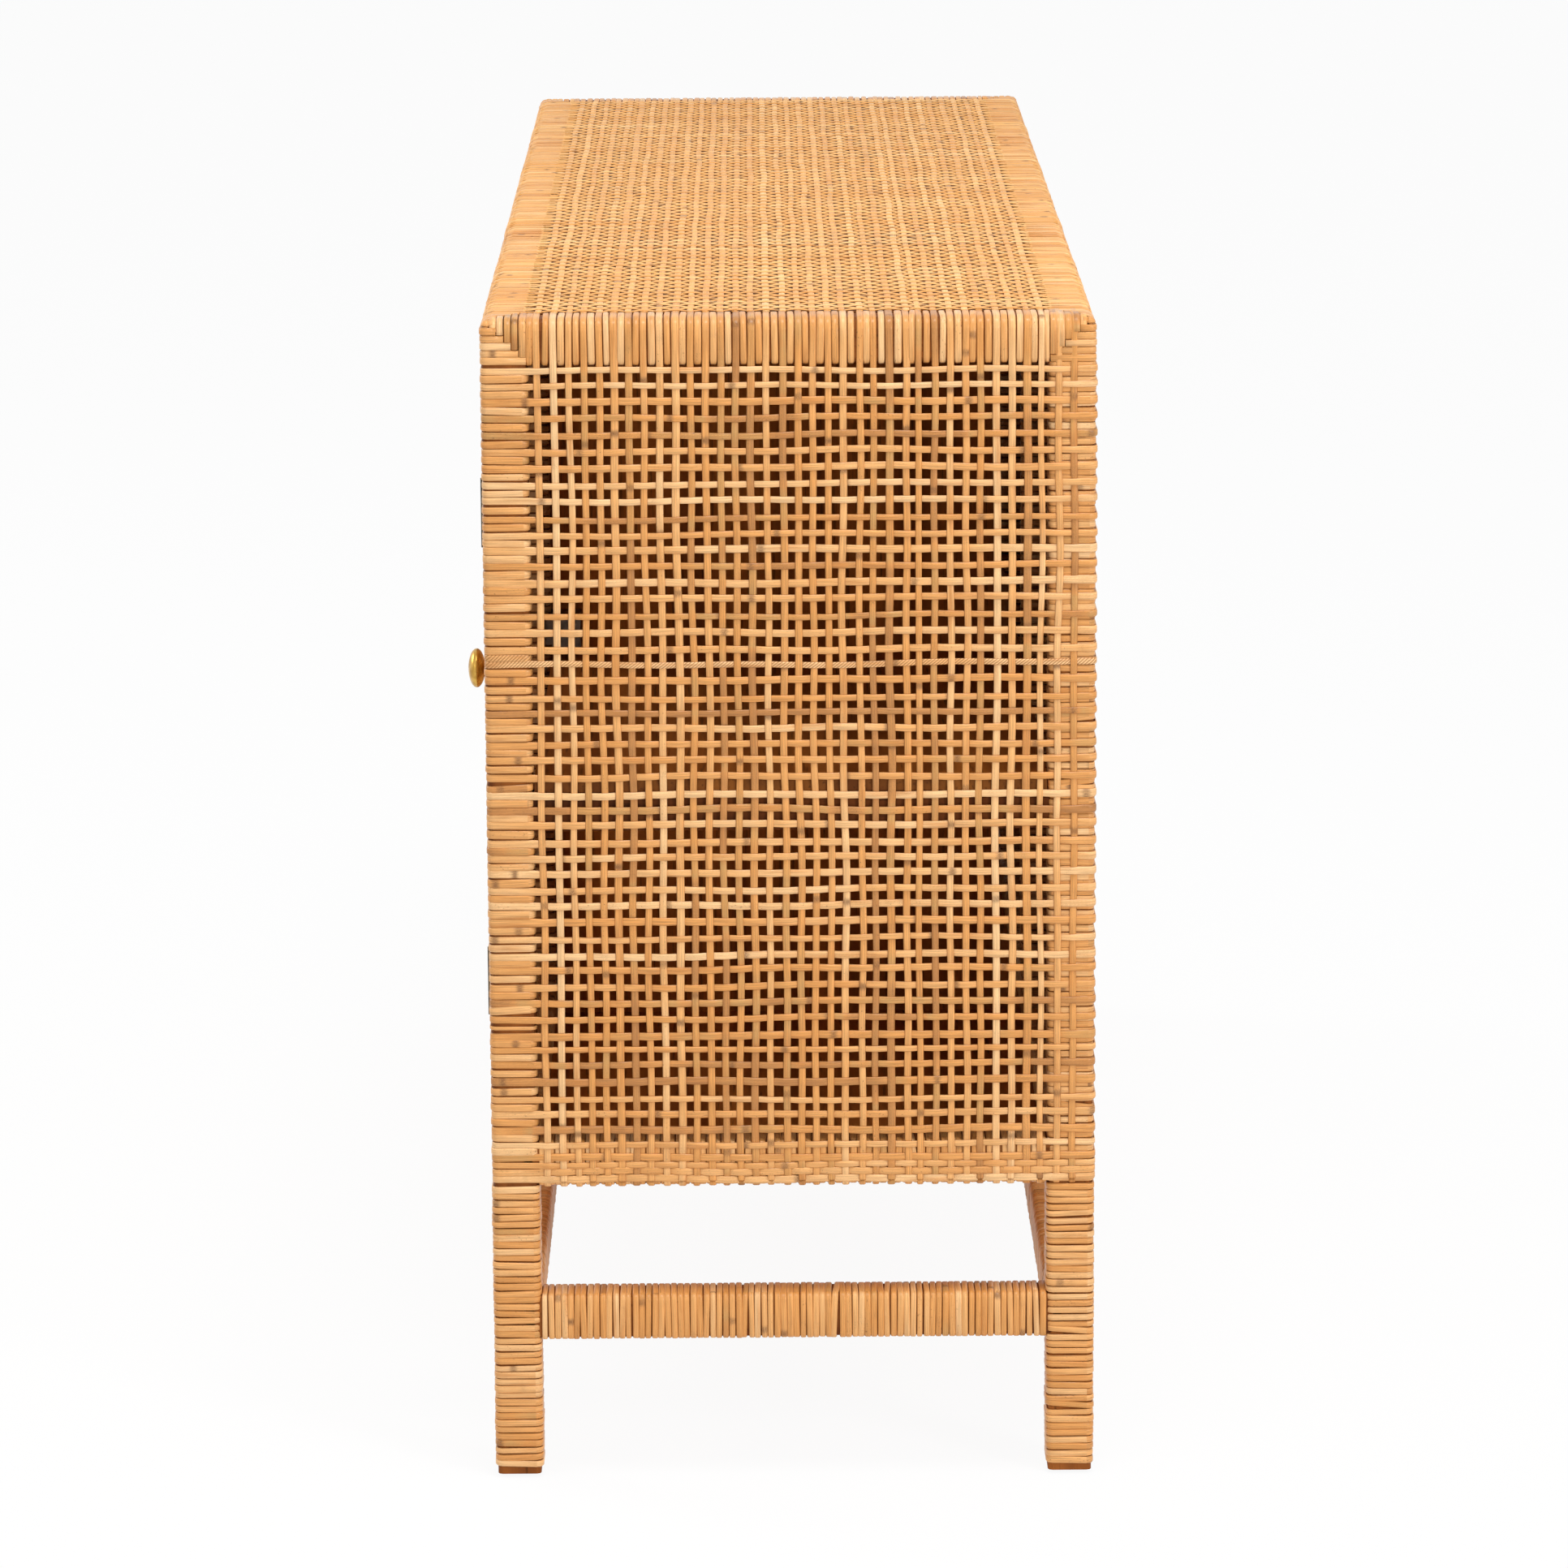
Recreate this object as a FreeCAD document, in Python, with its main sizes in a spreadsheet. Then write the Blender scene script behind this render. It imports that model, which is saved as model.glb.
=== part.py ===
"""Rattan storage cabinet: three doors, a shelf in each bay, on four wrapped legs.

Millimetres, +Z up. The length runs along X, the doors face -Y, and the origin is the
middle of the footprint, the knobs included, at floor level. "Right" is +X, "left" is -X.
"""

import FreeCAD, Part

import os
import re

from FreeCAD import Placement, Rotation, Vector

# Driving dimensions, one cell of the sheet each
SIZES = {
    # carcass
    "overall_length": 1320.0,
    "overall_depth": 400.0,
    "overall_height": 782.0,
    "body_underside": 201.0,
    "post_core": 29.0,
    "rattan_skin": 1.5,
    "wrap_corner_ease": 2.2,
    "stretcher_core": 29.0,
    "stretcher_centre": 111.0,
    "mid_rail": 26.0,
    "mid_rail_top": 468.5,
    "back_post_depth": 22.0,
    "tenon_length": 9.0,
    "tenon_thickness": 10.0,
    "tenon_height": 18.0,
    "joint_clearance": 0.1,
    "cut_overrun": 2.0,
    # feet
    "bare_foot": 5.0,
    "glide_height": 2.5,
    "glide_diameter": 12.0,
    "glide_seat_diameter": 7.0,
    "glide_nail_diameter": 3.0,
    "glide_nail_length": 14.0,
    # boards
    "top_board_thickness": 12.0,
    "bottom_board_thickness": 9.5,
    "bottom_board_lift": 2.0,
    "back_board_thickness": 5.0,
    "shelf_thickness": 10.0,
    "partition_thickness": 16.0,
    "partition_back_gap": 18.0,
    "cleat_section": 15.0,
    "cleat_setback": 14.0,
    # woven panels
    "weave_thickness": 2.0,
    "end_weave_columns": 6,
    "end_weave_rows": 8,
    "door_weave_columns": 5,
    "door_weave_rows": 7,
    "weave_gap_share": 0.55,
    # doors
    "door_core": 23.0,
    "door_stile_core": 29.0,
    "door_gap": 2.6,
    "door_tenon_thickness": 8.0,
    # hinges
    "hinge_height": 45.0,
    "hinge_inset": 76.0,
    "hinge_leaf_width": 18.0,
    "hinge_leaf_thickness": 1.0,
    "hinge_setback": 0.4,
    "knuckle_diameter": 4.0,
    "knuckle_end_gap": 0.35,
    "pin_diameter": 2.0,
    "pin_fit": 0.05,
    "pin_head_height": 1.2,
    # knobs
    "knob_height": 473.0,
    "knob_reach": 27.5,
    "knob_diameter": 28.0,
    "knob_head_thickness": 12.0,
    "knob_rim_thickness": 2.0,
    "knob_crown_diameter": 12.0,
    "knob_neck_diameter": 8.0,
    "knob_base_diameter": 13.0,
    "knob_base_thickness": 2.0,
    "knob_bore_depth": 12.0,
    "knob_screw_diameter": 4.0,
    "knob_screw_clearance": 0.2,
    "knob_screw_head_diameter": 8.5,
    "knob_screw_head_height": 2.4,
    # catches
    "catch_centre": 497.0,
    "catch_height": 27.0,
    "catch_depth": 25.0,
    "catch_width": 20.0,
    "catch_gap": 0.5,
    "catch_nose_width": 11.0,
    "catch_nose_height": 18.0,
    "strike_thickness": 1.2,
    "strike_width": 8.0,
    "strike_height": 20.0,
    "strike_setback": 1.0,
}

# Places that follow from the driving dimensions
PLACES = {
    "post": "post_core + 2 * rattan_skin",
    "half_length": "overall_length / 2",
    "front_face": "knob_reach / 2 - overall_depth / 2",
    "back_face": "knob_reach / 2 + overall_depth / 2",
    "bay_width": "(overall_length - 4 * post) / 3",
    "inner_post_offset": "bay_width / 2 + post / 2",
    "corner_post_offset": "half_length - post / 2",
    "opening_bottom": "body_underside + post",
    "opening_top": "overall_height - post",
    "bottom_board_low": "body_underside + bottom_board_lift",
    "floor_top": "bottom_board_low + bottom_board_thickness",
    "ceiling": "overall_height - rattan_skin - top_board_thickness",
    "back_lining": "back_face - weave_thickness - back_board_thickness",
    "back_post_front": "back_lining - back_post_depth - 2 * rattan_skin",
    "door_thickness": "door_core + 2 * rattan_skin",
    "door_stile": "door_stile_core + 2 * rattan_skin",
    "door_bottom": "opening_bottom + door_gap",
    "door_top": "opening_top - door_gap",
    "hinge_axis_y": "front_face + hinge_setback",
    "leaf_start_y": "hinge_axis_y + knuckle_diameter / 2 + knuckle_end_gap",
}

ZERO = "0"

doc = FreeCAD.newDocument("rattan_cabinet")
sheet = doc.addObject("Spreadsheet::Sheet", "sizes")
for row, (alias, number) in enumerate(SIZES.items(), start=1):
    sheet.set(f"A{row}", alias)
    sheet.set(f"B{row}", str(number))
    sheet.setAlias(f"B{row}", alias)
doc.recompute()

nodes = []


def expand(text):
    """Turn a sum written in named sizes and places into an expression on the sheet."""

    def swap(match):
        word = match.group(0)
        if word in SIZES:
            return "sizes." + word
        return "(" + expand(PLACES[word]) + ")"

    return re.sub(r"[a-z_]+", swap, text)


def value(text):
    """The number that a sum of named sizes and places comes to."""
    return float(sheet.evalExpression(expand(text)))


def bind(obj, **sums):
    """Bind properties of an object to sums of named sizes."""
    for name, text in sums.items():
        obj.setExpression(name, expand(text))
    return obj


def put(obj, place):
    """Bind the three coordinates of an object's base point."""
    for axis, text in zip("xyz", place):
        obj.setExpression("Placement.Base." + axis, expand(text))
    return obj


def block(low, size):
    """A box from its low corner and its three sizes."""
    box = doc.addObject("Part::Box", "block")
    bind(box, Length=size[0], Width=size[1], Height=size[2])
    return put(box, low)


def rod(place, diameter, height, turn=None):
    """A cylinder from the middle of its low end, along Z unless it is turned."""
    cylinder = doc.addObject("Part::Cylinder", "rod")
    bind(cylinder, Radius=f"({diameter}) / 2", Height=height)
    if turn:
        cylinder.Placement = Placement(Vector(), turn)
    return put(cylinder, place)


def joined(pieces):
    """Pieces made into one solid."""
    fuse = doc.addObject("Part::MultiFuse", "joined")
    fuse.Shapes = pieces
    fuse.Refine = True
    return fuse


def carved(base, tools):
    """A solid with all the tools cut out of it."""
    cut = doc.addObject("Part::Cut", "carved")
    cut.Base = base
    cut.Tool = tools[0] if len(tools) == 1 else joined(tools)
    cut.Refine = True
    return cut


def eased(base, axis):
    """A wrapped block with its four edges along one axis eased, as strips bend round a corner."""
    doc.recompute()
    along = Vector(*(float(axis == name) for name in "xyz"))
    size = value("wrap_corner_ease")
    chamfer = doc.addObject("Part::Chamfer", "eased")
    chamfer.Base = base
    chamfer.Edges = [
        (number, size, size)
        for number, edge in enumerate(base.Shape.Edges, start=1)
        if abs(edge.tangentAt(edge.FirstParameter).dot(along)) > 0.5
    ]
    return chamfer


def node(label, pieces):
    """Name one finished sub-part; several solids of one kind are kept as a group."""
    if len(pieces) == 1:
        part = pieces[0]
    else:
        part = doc.addObject("Part::Compound", "group")
        part.Links = pieces
    part.Label = label
    nodes.append(part)
    return part


def beam(axis, middle, start, length, section):
    """A block along X or Y, square to the floor.

    middle holds the two centre coordinates across the beam (horizontal, vertical) and
    section its two sizes in the same order.
    """
    across = f"{middle[0]} - ({section[0]}) / 2"
    low = f"{middle[1]} - ({section[1]}) / 2"
    if axis == "x":
        return block((start, across, low), (length, section[0], section[1]))
    return block((across, start, low), (section[0], length, section[1]))


def tenoned(axis, middle, start, end, section, thickness="tenon_thickness"):
    """A rail between two shoulders, with a stub tenon at each end."""
    body = beam(axis, middle, start, f"{end} - ({start})", section)
    tenon = beam(
        axis,
        middle,
        f"{start} - tenon_length",
        f"{end} - ({start}) + 2 * tenon_length",
        (thickness, "tenon_height"),
    )
    return joined([body, tenon])


def mortise(axis, middle, start, end, thickness="tenon_thickness"):
    """The cutter for both mortises of a rail, with room for its tenons."""
    return beam(
        axis,
        middle,
        f"{start} - tenon_length - joint_clearance",
        f"{end} - ({start}) + 2 * tenon_length + 2 * joint_clearance",
        (f"{thickness} + 2 * joint_clearance", "tenon_height + 2 * joint_clearance"),
    )


def sleeve(axis, middle, start, length, core, windows=()):
    """A skin of wrapped rattan around a beam, open at both ends."""
    over = tuple(f"{size} + 2 * rattan_skin" for size in core)
    skin = eased(beam(axis, middle, start, length, over), axis)
    bore = beam(axis, middle, f"{start} - cut_overrun", f"{length} + 2 * cut_overrun", core)
    return carved(skin, [bore, *windows])


def net(label, face, low, size, columns, rows):
    """An open woven panel as one holed sheet.

    face is "end" for a sheet across Y and Z, or "front" for one across X and Z. low is its
    low corner and size its width, height and thickness.
    """
    width, height, thickness = (value(text) for text in size)
    columns, rows = int(value(columns)), int(value(rows))
    gap = value("weave_gap_share")

    def window(across, up, wide, tall):
        corners = [(across, up), (across + wide, up), (across + wide, up + tall), (across, up + tall)]
        return Part.makePolygon([Vector(u, w, 0) for u, w in [*corners, corners[0]]])

    pitch_across, pitch_up = width / columns, height / rows
    margin_share = (1 - gap) / 2
    holes = [
        window(
            (column + margin_share) * pitch_across,
            (line + margin_share) * pitch_up,
            gap * pitch_across,
            gap * pitch_up,
        )
        for column in range(columns)
        for line in range(rows)
    ]
    sheet_face = Part.Face(window(0, 0, width, height))
    panel = doc.addObject("Part::Feature", "net")
    holed = sheet_face.cut(Part.makeCompound([Part.Face(hole) for hole in holes]))
    panel.Shape = holed.extrude(Vector(0, 0, thickness))
    upright = Rotation(Vector(1, 0, 0), 90)
    turn = upright if face == "front" else Rotation(Vector(0, 0, 1), 90).multiply(upright)
    panel.Placement = Placement(Vector(*(value(text) for text in low)), turn)
    return node(label, [panel])


def turned(profile, place, turn=None):
    """A body of revolution about Z, from straight lines in the XZ plane.

    profile is a list of points (radius, height) as sums of named sizes.
    """
    body = doc.addObject("PartDesign::Body", "turned")
    sketch = body.newObject("Sketcher::SketchObject", "profile")
    plane = [item for item in body.Origin.OriginFeatures if item.Role == "XZ_Plane"]
    sketch.AttachmentSupport = [(plane[0], "")]
    sketch.MapMode = "FlatFace"
    points = [Vector(value(radius), value(height), 0) for radius, height in profile]
    for here, there in zip(points, points[1:] + points[:1]):
        sketch.addGeometry(Part.LineSegment(here, there), False)
    revolution = body.newObject("PartDesign::Revolution", "revolution")
    revolution.Profile = sketch
    revolution.ReferenceAxis = (sketch, ["V_Axis"])
    revolution.Angle = 360.0
    body.Placement = Placement(Vector(), turn or Rotation())
    return put(body, place)


# Corner posts, rails and stretchers

SIDES = {"right": "", "left": "-"}
CORNER_POSTS = {
    "front": "front_face + post / 2",
    "back": "back_face - post / 2",
}
END_SPAN = ("front_face + rattan_skin + post_core", "back_face - rattan_skin - post_core")
LONG_SPAN = (
    "-half_length + rattan_skin + post_core",
    "half_length - rattan_skin - post_core",
)
# name, centre height, core size
RAIL_LEVELS = [
    ("top_rails", "overall_height - post / 2", "post_core"),
    ("bottom_rails", "body_underside + post / 2", "post_core"),
    ("stretchers", "stretcher_centre", "stretcher_core"),
]
MID_LEVEL = ("mid_rails", "mid_rail_top - mid_rail / 2", "mid_rail")
INNER_POSTS = {"right": "inner_post_offset", "left": "-inner_post_offset"}


def end_line(side, level):
    """Centre coordinates (x, z) of an end rail."""
    return (f"{SIDES[side]}corner_post_offset", level)


def long_line(depth, level):
    """Centre coordinates (y, z) of a long rail."""
    return (CORNER_POSTS[depth], level)


def corner_post(side, depth):
    """One square leg post with a mortise for every rail that meets it, and a glide hole."""
    centre_x = f"{SIDES[side]}corner_post_offset"
    centre_y = CORNER_POSTS[depth]
    core = block(
        (f"{centre_x} - post_core / 2", f"{centre_y} - post_core / 2", "glide_height"),
        ("post_core", "post_core", "overall_height - rattan_skin - glide_height"),
    )
    cuts = [mortise("y", end_line(side, level), *END_SPAN) for _, level, _ in RAIL_LEVELS + [MID_LEVEL]]
    cuts += [mortise("x", long_line(depth, level), *LONG_SPAN) for _, level, _ in RAIL_LEVELS]
    cuts.append(
        rod(
            (centre_x, centre_y, "glide_height - cut_overrun"),
            "glide_nail_diameter + 2 * joint_clearance",
            "glide_nail_length + joint_clearance + cut_overrun",
        )
    )
    node(f"leg_post_{depth}_{side}", [carved(core, cuts)])


def post_wrap(side, depth):
    """The wrapped skin of a corner post, closed over its top, with a window at each rail."""
    centre_x = f"{SIDES[side]}corner_post_offset"
    centre_y = CORNER_POSTS[depth]
    low = "glide_height + bare_foot"
    skin = eased(
        block(
            (f"{centre_x} - post / 2", f"{centre_y} - post / 2", low),
            ("post", "post", f"overall_height - ({low})"),
        ),
        "z",
    )
    bore = block(
        (f"{centre_x} - post_core / 2", f"{centre_y} - post_core / 2", f"{low} - cut_overrun"),
        ("post_core", "post_core", f"overall_height - rattan_skin - ({low}) + cut_overrun"),
    )
    windows = [
        beam("y", end_line(side, level), END_SPAN[0], f"{END_SPAN[1]} - ({END_SPAN[0]})", (core, core))
        for _, level, core in RAIL_LEVELS + [MID_LEVEL]
    ]
    windows += [
        beam("x", long_line(depth, level), LONG_SPAN[0], f"{LONG_SPAN[1]} - ({LONG_SPAN[0]})", (core, core))
        for _, level, core in RAIL_LEVELS
    ]
    return carved(skin, [bore, *windows])


def inner_post_stub(side):
    """The upright tenon of a front inner post, through the post's whole height."""
    return block(
        (
            f"{INNER_POSTS[side]} - tenon_height / 2",
            "front_face + post / 2 - tenon_thickness / 2",
            "opening_bottom - rattan_skin - tenon_length",
        ),
        (
            "tenon_height",
            "tenon_thickness",
            "opening_top - opening_bottom + 2 * rattan_skin + 2 * tenon_length",
        ),
    )


def inner_post_mortise(side):
    """The cutter for the two mortises of a front inner post."""
    return block(
        (
            f"{INNER_POSTS[side]} - tenon_height / 2 - joint_clearance",
            "front_face + post / 2 - tenon_thickness / 2 - joint_clearance",
            "opening_bottom - rattan_skin - tenon_length - joint_clearance",
        ),
        (
            "tenon_height + 2 * joint_clearance",
            "tenon_thickness + 2 * joint_clearance",
            "opening_top - opening_bottom + 2 * rattan_skin + 2 * tenon_length + 2 * joint_clearance",
        ),
    )


def inner_post_core(side):
    """The square core of a front inner post between the cores of the two front rails."""
    return block(
        (
            f"{INNER_POSTS[side]} - post_core / 2",
            "front_face + rattan_skin",
            "opening_bottom - rattan_skin",
        ),
        ("post_core", "post_core", "opening_top - opening_bottom + 2 * rattan_skin"),
    )


for depth in CORNER_POSTS:
    for side in SIDES:
        corner_post(side, depth)
node("post_wraps", [post_wrap(side, depth) for depth in CORNER_POSTS for side in SIDES])

for name, level, core in RAIL_LEVELS:
    long_rails, long_wraps = [], []
    for depth in CORNER_POSTS:
        rail = tenoned("x", long_line(depth, level), *LONG_SPAN, (core, core))
        windows = []
        if depth == "front" and name != "stretchers":
            rail = carved(rail, [inner_post_mortise(side) for side in INNER_POSTS])
            windows = [inner_post_core(side) for side in INNER_POSTS]
        long_rails.append(rail)
        long_wraps.append(
            sleeve(
                "x",
                long_line(depth, level),
                "-half_length + post",
                "overall_length - 2 * post",
                (core, core),
                windows,
            )
        )
    end_rails = [tenoned("y", end_line(side, level), *END_SPAN, (core, core)) for side in SIDES]
    end_wraps = [
        sleeve("y", end_line(side, level), "front_face + post", "overall_depth - 2 * post", (core, core))
        for side in SIDES
    ]
    node(f"{name}_long", long_rails)
    node(f"{name}_end", end_rails)
    node(f"{name[:-1]}_wraps", long_wraps + end_wraps)

name, level, core = MID_LEVEL
node("mid_rails_end", [tenoned("y", end_line(side, level), *END_SPAN, (core, core)) for side in SIDES])

# Inner posts between the bays: tenoned ones at the front, planted ones at the back

node("inner_posts_front", [joined([inner_post_core(side), inner_post_stub(side)]) for side in INNER_POSTS])
node(
    "inner_posts_back",
    [
        block(
            (
                f"{INNER_POSTS[side]} - post_core / 2",
                "back_post_front + rattan_skin",
                "opening_bottom",
            ),
            ("post_core", "back_post_depth", "opening_top - opening_bottom"),
        )
        for side in INNER_POSTS
    ],
)


def upright_sleeve(side, front, depth_core):
    """A wrapped skin around an inner post, open at both ends."""
    skin = eased(
        block(
            (f"{INNER_POSTS[side]} - post / 2", front, "opening_bottom"),
            ("post", f"{depth_core} + 2 * rattan_skin", "opening_top - opening_bottom"),
        ),
        "z",
    )
    bore = block(
        (f"{INNER_POSTS[side]} - post_core / 2", f"{front} + rattan_skin", "opening_bottom - cut_overrun"),
        ("post_core", depth_core, "opening_top - opening_bottom + 2 * cut_overrun"),
    )
    return carved(skin, [bore])


node(
    "inner_post_wraps",
    [upright_sleeve(side, "front_face", "post_core") for side in INNER_POSTS]
    + [upright_sleeve(side, "back_post_front", "back_post_depth") for side in INNER_POSTS],
)

# Boards

FIELD_LOW = ("-half_length + post", "front_face + post")
FIELD_SIZE = ("overall_length - 2 * post", "overall_depth - 2 * post")
PARTITION_SPAN = "back_post_front - partition_back_gap - front_face - post"

node("top_board", [block((*FIELD_LOW, "ceiling"), (*FIELD_SIZE, "top_board_thickness"))])
node("top_weave", [block((*FIELD_LOW, "ceiling + top_board_thickness"), (*FIELD_SIZE, "rattan_skin"))])
node(
    "bottom_board",
    [block((*FIELD_LOW, "bottom_board_low"), (*FIELD_SIZE, "bottom_board_thickness"))],
)
BACK_LOW_X = "-half_length + post"
BACK_SIZE = ("overall_length - 2 * post", "opening_top - opening_bottom")
node(
    "back_board",
    [
        block(
            (BACK_LOW_X, "back_lining", "opening_bottom"),
            (BACK_SIZE[0], "back_board_thickness", BACK_SIZE[1]),
        )
    ],
)
node(
    "back_weave",
    [
        block(
            (BACK_LOW_X, "back_face - weave_thickness", "opening_bottom"),
            (BACK_SIZE[0], "weave_thickness", BACK_SIZE[1]),
        )
    ],
)
for side, centre in INNER_POSTS.items():
    node(
        f"partition_{side}",
        [
            block(
                (f"{centre} - partition_thickness / 2", "front_face + post", "floor_top"),
                ("partition_thickness", PARTITION_SPAN, "ceiling - floor_top"),
            )
        ],
    )
node(
    "shelf_cleats",
    [
        block(
            (
                f"{centre} + {reach}",
                "front_face + post + cleat_setback",
                "mid_rail_top - cleat_section",
            ),
            ("cleat_section", f"{PARTITION_SPAN} - 2 * cleat_setback", "cleat_section"),
        )
        for centre in INNER_POSTS.values()
        for reach in ("partition_thickness / 2", "(-partition_thickness / 2 - cleat_section)")
    ],
)
END_SHELF = "half_length - weave_thickness - inner_post_offset - partition_thickness / 2"
SHELVES = {
    "right": ("inner_post_offset + partition_thickness / 2", END_SHELF),
    "middle": (
        "-inner_post_offset + partition_thickness / 2",
        "2 * inner_post_offset - partition_thickness",
    ),
    "left": ("-half_length + weave_thickness", END_SHELF),
}
for name, (low_x, length) in SHELVES.items():
    node(
        f"shelf_{name}",
        [
            block(
                (low_x, "front_face + post", "mid_rail_top"),
                (length, "overall_depth - 2 * post", "shelf_thickness"),
            )
        ],
    )

# Open woven ends

PANEL_HEIGHT = "opening_top - opening_bottom"
for side, low_x in {"right": "half_length - weave_thickness", "left": "-half_length"}.items():
    net(
        f"end_weave_{side}",
        "end",
        (low_x, "front_face + post", "opening_bottom"),
        ("overall_depth - 2 * post", PANEL_HEIGHT, "weave_thickness"),
        "end_weave_columns",
        "end_weave_rows",
    )

# Nail-on glides under the legs

GLIDE_PROFILE = [
    (ZERO, ZERO),
    ("glide_seat_diameter / 2", ZERO),
    ("glide_diameter / 2", "glide_height * 3 / 5"),
    ("glide_diameter / 2", "glide_height"),
    ("glide_nail_diameter / 2", "glide_height"),
    ("glide_nail_diameter / 2", "glide_height + glide_nail_length"),
    (ZERO, "glide_height + glide_nail_length"),
]
node(
    "leg_glides",
    [
        turned(GLIDE_PROFILE, (f"{sign}corner_post_offset", centre_y, ZERO))
        for centre_y in CORNER_POSTS.values()
        for sign in SIDES.values()
    ],
)

# Doors. Each bay: low and high side face, and which of the two carries the hinges.
# "+" means that the door lies on the +X side of its hinges.

BAYS = {
    "right": ("inner_post_offset + post / 2", "half_length - post", "-"),
    "middle": ("-inner_post_offset + post / 2", "inner_post_offset - post / 2", "-"),
    "left": ("-half_length + post", "-inner_post_offset - post / 2", "+"),
}
KNUCKLES = 3
UNDER_DOOR = Rotation(Vector(1, 0, 0), 90)
hinge_leaves_frame = []
hinge_pins = []
catches = []


def span_x(start, reach, sign):
    """Low X of a block that reaches from start towards +X or -X."""
    return start if sign == "+" else f"{start} - ({reach})"


def hinge_leaf(plate_x, low_z, axis_x, taken, fit):
    """One leaf of a butt hinge: a plate, its knuckles with their necks, and the pin bore."""
    knuckle = f"hinge_height / {KNUCKLES}"
    plate = ("hinge_leaf_thickness", "hinge_leaf_width", "hinge_height")
    pieces = [block((plate_x, "leaf_start_y", low_z), plate)]
    for place in taken:
        start = f"{low_z} + {place} * {knuckle} + knuckle_end_gap / 2"
        tall = f"{knuckle} - knuckle_end_gap"
        pieces.append(rod((axis_x, "hinge_axis_y", start), "knuckle_diameter", tall))
        pieces.append(
            block(
                (plate_x, "hinge_axis_y", start),
                ("hinge_leaf_thickness", "leaf_start_y - hinge_axis_y + hinge_leaf_thickness", tall),
            )
        )
    bore = rod(
        (axis_x, "hinge_axis_y", f"{low_z} - cut_overrun"),
        f"pin_diameter + 2 * {fit}",
        "hinge_height + 2 * cut_overrun",
    )
    return carved(joined(pieces), [bore])


def hinge_pin(axis_x, low_z):
    """A hinge pin with a flat head that sits on the top knuckle."""
    top = f"{low_z} + hinge_height - knuckle_end_gap / 2"
    shank = rod((axis_x, "hinge_axis_y", low_z), "pin_diameter", "hinge_height - knuckle_end_gap / 2")
    head = rod((axis_x, "hinge_axis_y", top), "knuckle_diameter", "pin_head_height")
    return joined([shank, head])


def knob(place):
    """A turned knob: a base, a straight neck and a lens-shaped head."""
    back = "knob_reach - knob_head_thickness"
    middle = "knob_reach - knob_head_thickness / 2"
    profile = [
        ("knob_screw_diameter / 2 + pin_fit", ZERO),
        ("knob_base_diameter / 2", ZERO),
        ("knob_base_diameter / 2", "knob_base_thickness"),
        ("knob_neck_diameter / 2", "knob_base_thickness"),
        ("knob_neck_diameter / 2", back),
        ("knob_diameter / 2", f"{middle} - knob_rim_thickness / 2"),
        ("knob_diameter / 2", f"{middle} + knob_rim_thickness / 2"),
        ("knob_crown_diameter / 2", "knob_reach"),
        (ZERO, "knob_reach"),
        (ZERO, "knob_bore_depth"),
        ("knob_screw_diameter / 2 + pin_fit", "knob_bore_depth"),
    ]
    return turned(profile, place, UNDER_DOOR)


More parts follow.
